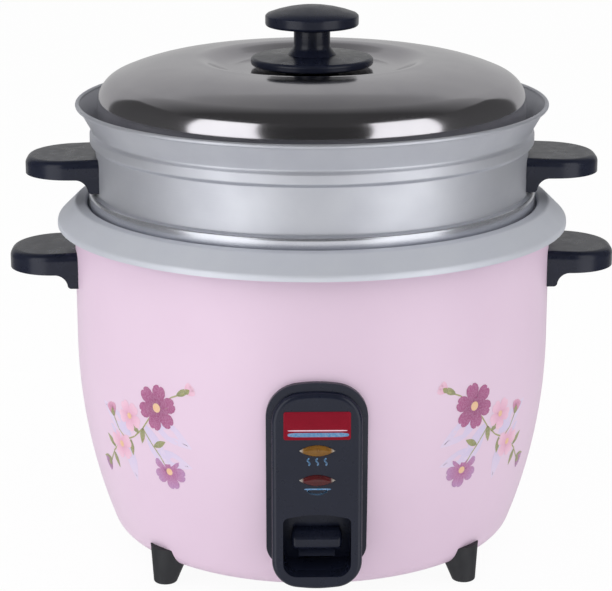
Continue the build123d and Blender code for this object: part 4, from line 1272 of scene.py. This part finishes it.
class Print:
    """Flat inked shapes, stamped on a surface and pressed into one thin film."""

    film: float = 0.02
    step: float = 0.03
    insets: tuple[float, ...] = (0.1, 0.14)

    def __init__(self, name: str) -> None:
        """Cut the stamps.

        Args:
            name: name of the film.
        """
        self.name = name
        self.layers: dict[Layer, list[Piece]] = {}
        self.stamps = {shape: self.cut(shape) for shape in Shape}

    def cut(self, shape: Shape) -> Piece:
        """Trace and fill one stamp, a unit long, with rings that let it follow a curve."""
        half = [Vector((out, along, 0)) for out, along in shape.value]
        other = [Vector((-point.x, point.y, 0)) for point in reversed(half[1:-1])]
        piece = Bench.trace(f"stamp_{shape.name.lower()}", half + other, closed=True)
        bpy.ops.mesh.edge_face_add()
        bpy.ops.mesh.normals_make_consistent(inside=False)
        for width in self.insets:
            bpy.ops.mesh.inset(thickness=width, use_even_offset=False)
        bpy.ops.object.mode_set(mode="OBJECT")
        if piece.data.polygons[0].normal.z < 0:
            Bench.flip(piece)
        return piece

    def spot(self, across: float, up: float) -> Matrix:
        """Place on the surface, facing out of it with Y up.

        Args:
            across: millimetres along the surface from the front's middle, positive to the right.
            up: height in millimetres.

        Returns:
            The place's matrix.
        """
        raise NotImplementedError

    def lay(self, film: Piece, lift: float) -> None:
        """Lay a layer on the surface.

        Args:
            film: the layer.
            lift: millimetres above the surface.
        """
        raise NotImplementedError

    def stamp(self, shape: Shape, at: Point, turn: float, size: Point, inks: Inks, layer: Layer) -> None:
        """Stamp one shape.

        Args:
            shape: which stamp.
            at: place of its base, across and up.
            turn: degrees that its tip leans from upright, against the clock.
            size: width and length in millimetres.
            inks: colours at its base and tip.
            layer: order in the print.
        """
        piece = self.stamps[shape].copy()
        piece.data = piece.data.copy()
        bpy.context.scene.collection.objects.link(piece)
        grow = Matrix.Diagonal((size[0] * MM, size[1] * MM, MM, 1))
        piece.matrix_world = self.spot(*at) @ Matrix.Rotation(math.radians(turn), 4, "Z") @ grow
        tint = piece.data.color_attributes.new("tint", "FLOAT_COLOR", "POINT")
        base, tip = Vector(inks[0].value), Vector(inks[1].value)
        for vertex, mark in zip(piece.data.vertices, tint.data):
            mark.color = base.lerp(tip, vertex.co.y)
        self.layers.setdefault(layer, []).append(piece)

    def stroke(self, points: Sequence[Point], width: float, ink: Ink, layer: Layer) -> None:
        """Stamp a line of bars through points.

        Args:
            points: places across and up.
            width: the line's width in millimetres.
            ink: its colour.
            layer: order in the print.
        """
        for here, there in zip(points, points[1:]):
            run = Vector(there) - Vector(here)
            turn = math.degrees(math.atan2(-run.x, run.y))
            self.stamp(Shape.BAR, here, turn, (width, run.length + width / 2), (ink, ink), layer)

    def press(self) -> Piece:
        """Join the stamped shapes into the finished film."""
        films = []
        for layer, pieces in sorted(self.layers.items()):
            film = Bench.join(f"{self.name}_{layer}", pieces)
            bpy.ops.object.transform_apply(location=True, rotation=True, scale=True)
            self.lay(film, (layer + 1) * self.step)
            films.append(film)
        result = Bench.join(self.name, films)
        Bench.apply(result, "SOLIDIFY", thickness=self.film * MM, offset=1.0)
        Bench.smooth(result)
        for piece in self.stamps.values():
            bpy.data.objects.remove(piece)
        return result


class PanelMarks(Print):
    """Plain signs under the lenses, heat strokes and a bowl, and two lines along the badge."""

    line: float = 0.75
    heat_places: tuple[float, ...] = (-4.2, 0.0, 4.2)
    heat_low: float = 85.3
    heat_sway: float = 0.55
    heat_step: float = 0.58
    heat_points: int = 7
    bowl_middle: float = 73.4
    bowl_radius: float = 5.2
    bowl_start: float = 200.0
    bowl_sweep: float = 140.0
    bowl_squash: float = 0.62
    rim: tuple[Point, Point] = ((-6.4, 72.9), (6.4, 72.9))
    badge_half: float = 14.6
    badge_lines: tuple[tuple[float, float, Ink], ...] = ((101.2, 2.2, Ink.SKY), (103.4, 0.6, Ink.BLUSH))

    def spot(self, across: float, up: float) -> Matrix:
        """Place on the panel's flat front (see Print.spot)."""
        place = Matrix.Translation((across * MM, -PanelTrim.front * MM, up * MM))
        return place @ Matrix.Rotation(math.radians(90), 4, "X")

    def lay(self, film: Piece, lift: float) -> None:
        """Move the layer off the front (see Print.lay)."""
        film.location.y -= lift * MM
        bpy.ops.object.transform_apply(location=True, rotation=False, scale=False)

    def build(self, wardrobe: Wardrobe) -> None:
        """Print the signs.

        Args:
            wardrobe: the finishes.
        """
        for middle in self.heat_places:
            sway = [self.heat_sway * math.sin(i * math.pi / 3) for i in range(self.heat_points)]
            wave = [(middle + out, self.heat_low + self.heat_step * i) for i, out in enumerate(sway)]
            self.stroke(wave, self.line, Ink.SKY, Layer.GROUND)
        bowl = arc((0, 0), self.bowl_radius, self.bowl_start, self.bowl_sweep)
        side = [(point.x, self.bowl_middle + point.y * self.bowl_squash) for point in bowl]
        self.stroke(side, self.line, Ink.SKY, Layer.GROUND)
        self.stroke(self.rim, self.line, Ink.SKY, Layer.GROUND)
        for height, width, ink in self.badge_lines:
            ends = ((-self.badge_half, height), (self.badge_half, height))
            self.stroke(ends, width, ink, Layer.BADGE)
        wardrobe.print_on(self.press(), "black_plastic", "base")


class FlowerTransfer(Print):
    """Printed spray on one side of the casing: a curved branch with leaves, blossoms and buds."""

    twig: tuple[Point, ...] = (
        (69, 115), (77, 111.5), (85, 105.5), (92, 98), (98, 90.5),
        (105, 84.5), (113, 80.5), (121, 76), (128, 70), (134, 62.5),
    )
    side_twigs: tuple[tuple[Point, ...], ...] = (
        ((98, 90.5), (93, 84), (87, 77), (82, 69)),
        ((113, 80.5), (119, 85), (122.5, 91)),
    )
    twig_width: float = 0.8
    side_twig_width: float = 0.7
    leaves: tuple[tuple[float, float, float], ...] = (
        (74, 113, 62), (79, 110, -150), (98, 91, -170), (101, 87, -58), (109, 82, 178),
        (125, 73, -50), (128, 70, 160), (133, 64, -95), (91, 82, 62),
    )
    leaf_size: Point = (3.6, 9.5)
    hazes: tuple[tuple[float, float, float, float], ...] = (
        (92, 99, 118, 30), (96, 93, 150, 28), (108, 84, -62, 28),
        (118, 78, -28, 24), (112, 80, 172, 23), (90, 80, 104, 24),
    )
    haze_width: float = 0.36
    blossoms: tuple[tuple[Point, float, float, Inks, int], ...] = (
        ((87, 104), 25, 12, (Ink.PLUM, Ink.MAUVE), 6),
        ((108, 95), 17, 40, (Ink.ROSE, Ink.BLUSH), 5),
        ((118, 77), 18, -8, (Ink.ROSE, Ink.BLUSH), 5),
        ((82, 70), 20, 24, (Ink.MAUVE, Ink.LILAC), 5),
    )
    petal_width: float = 2.05
    heart_share: float = 0.2
    buds: tuple[tuple[Point, float, float, Inks], ...] = (
        ((122.5, 91), -18, 8, (Ink.MAUVE, Ink.ROSE)),
        ((134, 62.5), -120, 7.5, (Ink.PLUM, Ink.LILAC)),
        ((69, 115), 55, 6.5, (Ink.ROSE, Ink.BLUSH)),
    )
    bud_leans: tuple[float, ...] = (-24, 24, 0)
    bud_width: float = 0.5
    cup_size: Point = (0.45, 0.6)
    start_off: float = 0.4

    def __init__(self, name: str, hand: int, casing: Casing, shell: Piece) -> None:
        """Start the print for one side.

        Args:
            name: name of the film.
            hand: 1 on the right of the panel, -1 mirrored on the left.
            casing: sizes of the casing.
            shell: the casing's finished piece.
        """
        super().__init__(name)
        self.hand = hand
        self.casing = casing
        self.shell = shell

    def spot(self, across: float, up: float) -> Matrix:
        """Place just outside the casing (see Print.spot)."""
        turn = Matrix.Rotation(self.hand * across / self.casing.radius, 4, "Z")
        face = Matrix.Translation((0, -(self.casing.radius_at(up) + self.start_off) * MM, up * MM))
        return turn @ face @ Matrix.Rotation(math.radians(90), 4, "X")

    def lay(self, film: Piece, lift: float) -> None:
        """Shrink the layer onto the casing (see Print.lay)."""
        settings = {"wrap_method": "NEAREST_SURFACEPOINT", "wrap_mode": "ABOVE_SURFACE"}
        Bench.apply(film, "SHRINKWRAP", target=self.shell, offset=lift * MM, **settings)

    def stamp(self, shape: Shape, at: Point, turn: float, size: Point, inks: Inks, layer: Layer) -> None:
        """Stamp one shape, leaning the other way on the left (see Print.stamp)."""
        super().stamp(shape, at, self.hand * turn, size, inks, layer)

    def blossom(self, at: Point, size: float, turn: float, inks: Inks, petals: int) -> None:
        """Stamp a flower.

        Args:
            at: its middle, across and up.
            size: its diameter in millimetres.
            turn: lean of its first petal in degrees.
            inks: colours of the petals' base and tip.
            petals: how many petals.
        """
        petal = (size * self.petal_width / petals, size / 2)
        for i in range(petals):
            self.stamp(Shape.PETAL, at, turn + 360 * i / petals, petal, inks, Layer.PETAL)
        heart = size * self.heart_share
        base = (at[0], at[1] - heart / 2)
        self.stamp(Shape.DOT, base, 0, (heart, heart), (Ink.POLLEN, Ink.POLLEN), Layer.HEART)

    def bud(self, at: Point, turn: float, size: float, inks: Inks) -> None:
        """Stamp a half-open bud with its green cup.

        Args:
            at: its base, across and up.
            turn: lean of its tip in degrees.
            size: its length in millimetres.
            inks: colours of the petals' base and tip.
        """
        for lean in self.bud_leans:
            self.stamp(Shape.PETAL, at, turn + lean, (size * self.bud_width, size), inks, Layer.PETAL)
        cup = (size * self.cup_size[0], size * self.cup_size[1])
        self.stamp(Shape.LEAF, at, turn, cup, (Ink.MOSS, Ink.OLIVE), Layer.HEART)

    def build(self, wardrobe: Wardrobe) -> None:
        """Print the spray.

        Args:
            wardrobe: the finishes.
        """
        for across, up, lean, length in self.hazes:
            size = (length * self.haze_width, length)
            self.stamp(Shape.LEAF, (across, up), lean, size, (Ink.HAZE, Ink.MIST), Layer.GROUND)
        self.stroke(self.twig, self.twig_width, Ink.OLIVE, Layer.TWIG)
        for twig in self.side_twigs:
            self.stroke(twig, self.side_twig_width, Ink.OLIVE, Layer.TWIG)
        for across, up, lean in self.leaves:
            self.stamp(Shape.LEAF, (across, up), lean, self.leaf_size, (Ink.MOSS, Ink.OLIVE), Layer.TWIG)
        for blossom in self.blossoms:
            self.blossom(*blossom)
        for bud in self.buds:
            self.bud(*bud)
        wardrobe.print_on(self.press(), "pink_enamel", "base")


@dataclass(frozen=True)
class Lamp:
    """Soft lamp: degrees round and above the horizon, width and height in metres, and watts."""

    name: str
    turn: float
    lift: float
    size: Point
    watts: float


@dataclass(frozen=True)
class Wall:
    """Upright card: degrees round from the front, its levels, and the span between which they change."""

    name: str
    turn: float
    levels: Point
    span: Point = (-0.5, 0.5)


@dataclass(frozen=True)
class Window:
    """Bright card for the lid: degrees round, lean in degrees, and level."""

    name: str
    turn: float
    lean: float
    level: float


@dataclass
class Studio:
    """White studio: floor, soft lamps, cards that only shiny surfaces see, and the camera."""

    camera_turn: float = -1.1
    camera_tilt: float = 15.383
    camera_out: float = 1150.0
    camera_up: float = 451.7
    focal_pixels: float = 2194.76
    picture_width: int = 612
    axis_column: float = 312.0
    sensor: float = 36.0
    ambient: float = 0.8
    floor_size: float = 12.0
    floor_paint: Colour = (0.93, 0.93, 0.93, 1.0)
    floor_seen: float = 0.94
    floor_lit: float = 0.38
    aim_height: float = 0.2
    away: float = 1.5
    lamps: tuple[Lamp, ...] = (
        Lamp("key_left", -78, 5, (0.9, 1.0), 7.0),
        Lamp("fill_right", 95, 5, (0.9, 1.0), 4.4),
        Lamp("front_top", 0, 55, (1.2, 1.2), 3.0),
    )
    room: float = 3.3
    wall_middle: float = 1.1
    wall_tall: float = 4.2
    walls: tuple[Wall, ...] = (
        Wall("back_card", 180, (0.57, 0.47)),
        Wall("left_card", -90, (0.12, 0.09)),
        Wall("right_card", 90, (0.12, 0.09)),
        Wall("front_card", 0, (1.25, 0.05), (-0.37, -0.27)),
    )
    top: float = 3.2
    top_levels: Point = (0.07, 0.37)
    top_span: Point = (0.02, 0.5)
    low: float = -1.0
    low_levels: Point = (0.75, 0.5)
    windows: tuple[Window, ...] = (Window("window_left", -46, 8, 1.9), Window("window_right", 47, -8, 1.8))
    window_size: Point = (1.05, 2.8)
    window_rise: float = 0.22

    def camera(self) -> None:
        """Set the camera at the reference picture's angle."""
        data = bpy.data.cameras.new("reference_camera")
        data.sensor_width = self.sensor
        data.lens = self.focal_pixels * self.sensor / self.picture_width
        data.shift_x = (self.picture_width / 2 - self.axis_column) / self.picture_width
        eye = bpy.data.objects.new("reference_camera", data)
        turn = math.radians(self.camera_turn)
        out = self.camera_out * MM
        eye.location = (out * math.sin(turn), -out * math.cos(turn), self.camera_up * MM)
        eye.rotation_euler = (math.radians(90 - self.camera_tilt), 0, turn)
        bpy.context.scene.collection.objects.link(eye)
        bpy.context.scene.camera = eye

    def world(self) -> None:
        """White to the eye, to metal and to glass; a plain level of light on the rest."""
        world = bpy.data.worlds.new("white_studio")
        world.use_nodes = True
        bpy.context.scene.world = world
        nodes = Nodes(world.node_tree)
        light = nodes.tree.nodes["Background"]
        nodes.feed(light.inputs["Color"], WHITE)
        nodes.feed(light.inputs["Strength"], self.ambient)
        white = nodes.add("ShaderNodeBackground", {"Color": WHITE})
        path = nodes.add("ShaderNodeLightPath").outputs
        seen = path["Is Camera Ray"]
        for ray in ("Is Glossy Ray", "Is Transmission Ray"):
            seen = nodes.add("ShaderNodeMath", {0: seen, 1: path[ray]}, operation="MAXIMUM").outputs["Value"]
        inputs = {"Fac": seen, 1: light.outputs["Background"], 2: white.outputs["Background"]}
        nodes.show(nodes.add("ShaderNodeMixShader", inputs))

    def floor(self) -> None:
        """Pale floor that keeps a trace of the object's shadow."""
        Bench.clear()
        bpy.ops.mesh.primitive_plane_add(size=self.floor_size)
        floor = bpy.context.object
        floor.name = "studio_floor"
        graph = Graph("studio_floor")
        graph.dress(Base_Color=self.floor_paint, Roughness=0.9, Specular_IOR_Level=0.1)
        glow = graph.add("ShaderNodeEmission", {"Color": WHITE, "Strength": 1.0})
        eye = graph.add("ShaderNodeLightPath").outputs["Is Camera Ray"]
        shares = {0: eye, 1: self.floor_seen - self.floor_lit, 2: self.floor_lit}
        share = graph.add("ShaderNodeMath", shares, operation="MULTIPLY_ADD").outputs["Value"]
        inputs = {"Fac": share, 1: graph.shader.outputs["BSDF"], 2: glow.outputs["Emission"]}
        graph.show(graph.add("ShaderNodeMixShader", inputs))
        floor.data.materials.append(graph.material)
        floor.visible_glossy = False

    def aim(self, turn: float, lift: float) -> Matrix:
        """Place that faces the cooker's middle.

        Args:
            turn: degrees round from the camera's side, positive to the right.
            lift: degrees above the horizon.

        Returns:
            The place's matrix, its Z axis pointing away from the cooker.
        """
        a, e = math.radians(turn), math.radians(lift)
        back = Vector((math.sin(a) * math.cos(e), -math.cos(a) * math.cos(e), math.sin(e)))
        place = Matrix.Translation(Vector((0, 0, self.aim_height)) + back * self.away)
        return place @ back.to_track_quat("Z", "Y").to_matrix().to_4x4()

    def light(self, lamp: Lamp) -> None:
        """Hang a lamp that lights the dull surfaces alone.

        Args:
            lamp: its place, size and power; it shines against its Z axis.
        """
        data = bpy.data.lights.new(lamp.name, "AREA")
        data.shape = "RECTANGLE"
        data.size, data.size_y = lamp.size
        data.energy = lamp.watts
        hung = bpy.data.objects.new(lamp.name, data)
        hung.matrix_world = self.aim(lamp.turn, lamp.lift)
        hung.visible_camera = hung.visible_glossy = False
        bpy.context.scene.collection.objects.link(hung)

    def card(self, name: str, place: Matrix, size: Point, levels: Point, span: Point = Wall.span) -> None:
        """Card that only shiny surfaces see, graded from its lower to its upper edge.

        Args:
            name: the card's name.
            place: where it stands, its Y axis along the grade.
            size: width and height in metres.
            levels: brightness at the lower and the upper edge.
            span: shares of the height, from -0.5 to 0.5, between which it changes.
        """
        Bench.clear()
        bpy.ops.mesh.primitive_plane_add(size=1)
        card = bpy.context.object
        card.name = name
        card.matrix_world = place @ Matrix.Diagonal((*size, 1, 1))
        graph = Graph(name)
        level = graph.spread(graph.axis("Y"), *levels, *span)
        graph.show(graph.add("ShaderNodeEmission", {"Color": WHITE, "Strength": level}))
        card.data.materials.append(graph.material)
        card.visible_camera = card.visible_diffuse = False
        card.visible_transmission = card.visible_shadow = False

    def build(self) -> None:
        """Set up the whole studio."""
        bpy.context.scene.view_settings.view_transform = "Standard"
        self.camera()
        self.world()
        self.floor()
        for lamp in self.lamps:
            self.light(lamp)
        upright = Matrix.Rotation(math.radians(90), 4, "X")
        middle = Matrix.Translation((0, 0, self.wall_middle))
        wide = 2 * self.room
        for wall in self.walls:
            turn = Matrix.Rotation(math.radians(wall.turn), 4, "Z")
            place = middle @ turn @ Matrix.Translation((0, -self.room, 0)) @ upright
            self.card(wall.name, place, (wide, self.wall_tall), wall.levels, wall.span)
        above, below = Matrix.Translation((0, 0, self.top)), Matrix.Translation((0, 0, self.low))
        self.card("top_card", above, (wide, wide), self.top_levels, self.top_span)
        self.card("low_card", below, (wide, wide), self.low_levels)
        for window in self.windows:
            lean = Matrix.Rotation(math.radians(window.lean), 4, "Z")
            place = self.aim(window.turn, 0) @ lean @ Matrix.Translation((0, self.window_rise, 0))
            self.card(window.name, place, self.window_size, (window.level, window.level))


def main() -> None:
    """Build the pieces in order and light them."""
    logging.basicConfig(level=logging.INFO, format="%(name)s %(message)s")
    wardrobe = Wardrobe()
    casing = Casing()
    shell = casing.build(wardrobe)
    for side, hand in (("left", -1), ("right", 1)):
        FlowerTransfer(f"flower_transfer_{side}", hand, casing, shell).build(wardrobe)
    for assembly in (PanelTrim(), PanelMarks("panel_marks"), LeverKey(), Pot(), SteamerTray(), Lid()):
        assembly.build(wardrobe)
    Studio().build()


if __name__ == "__main__":
    main()
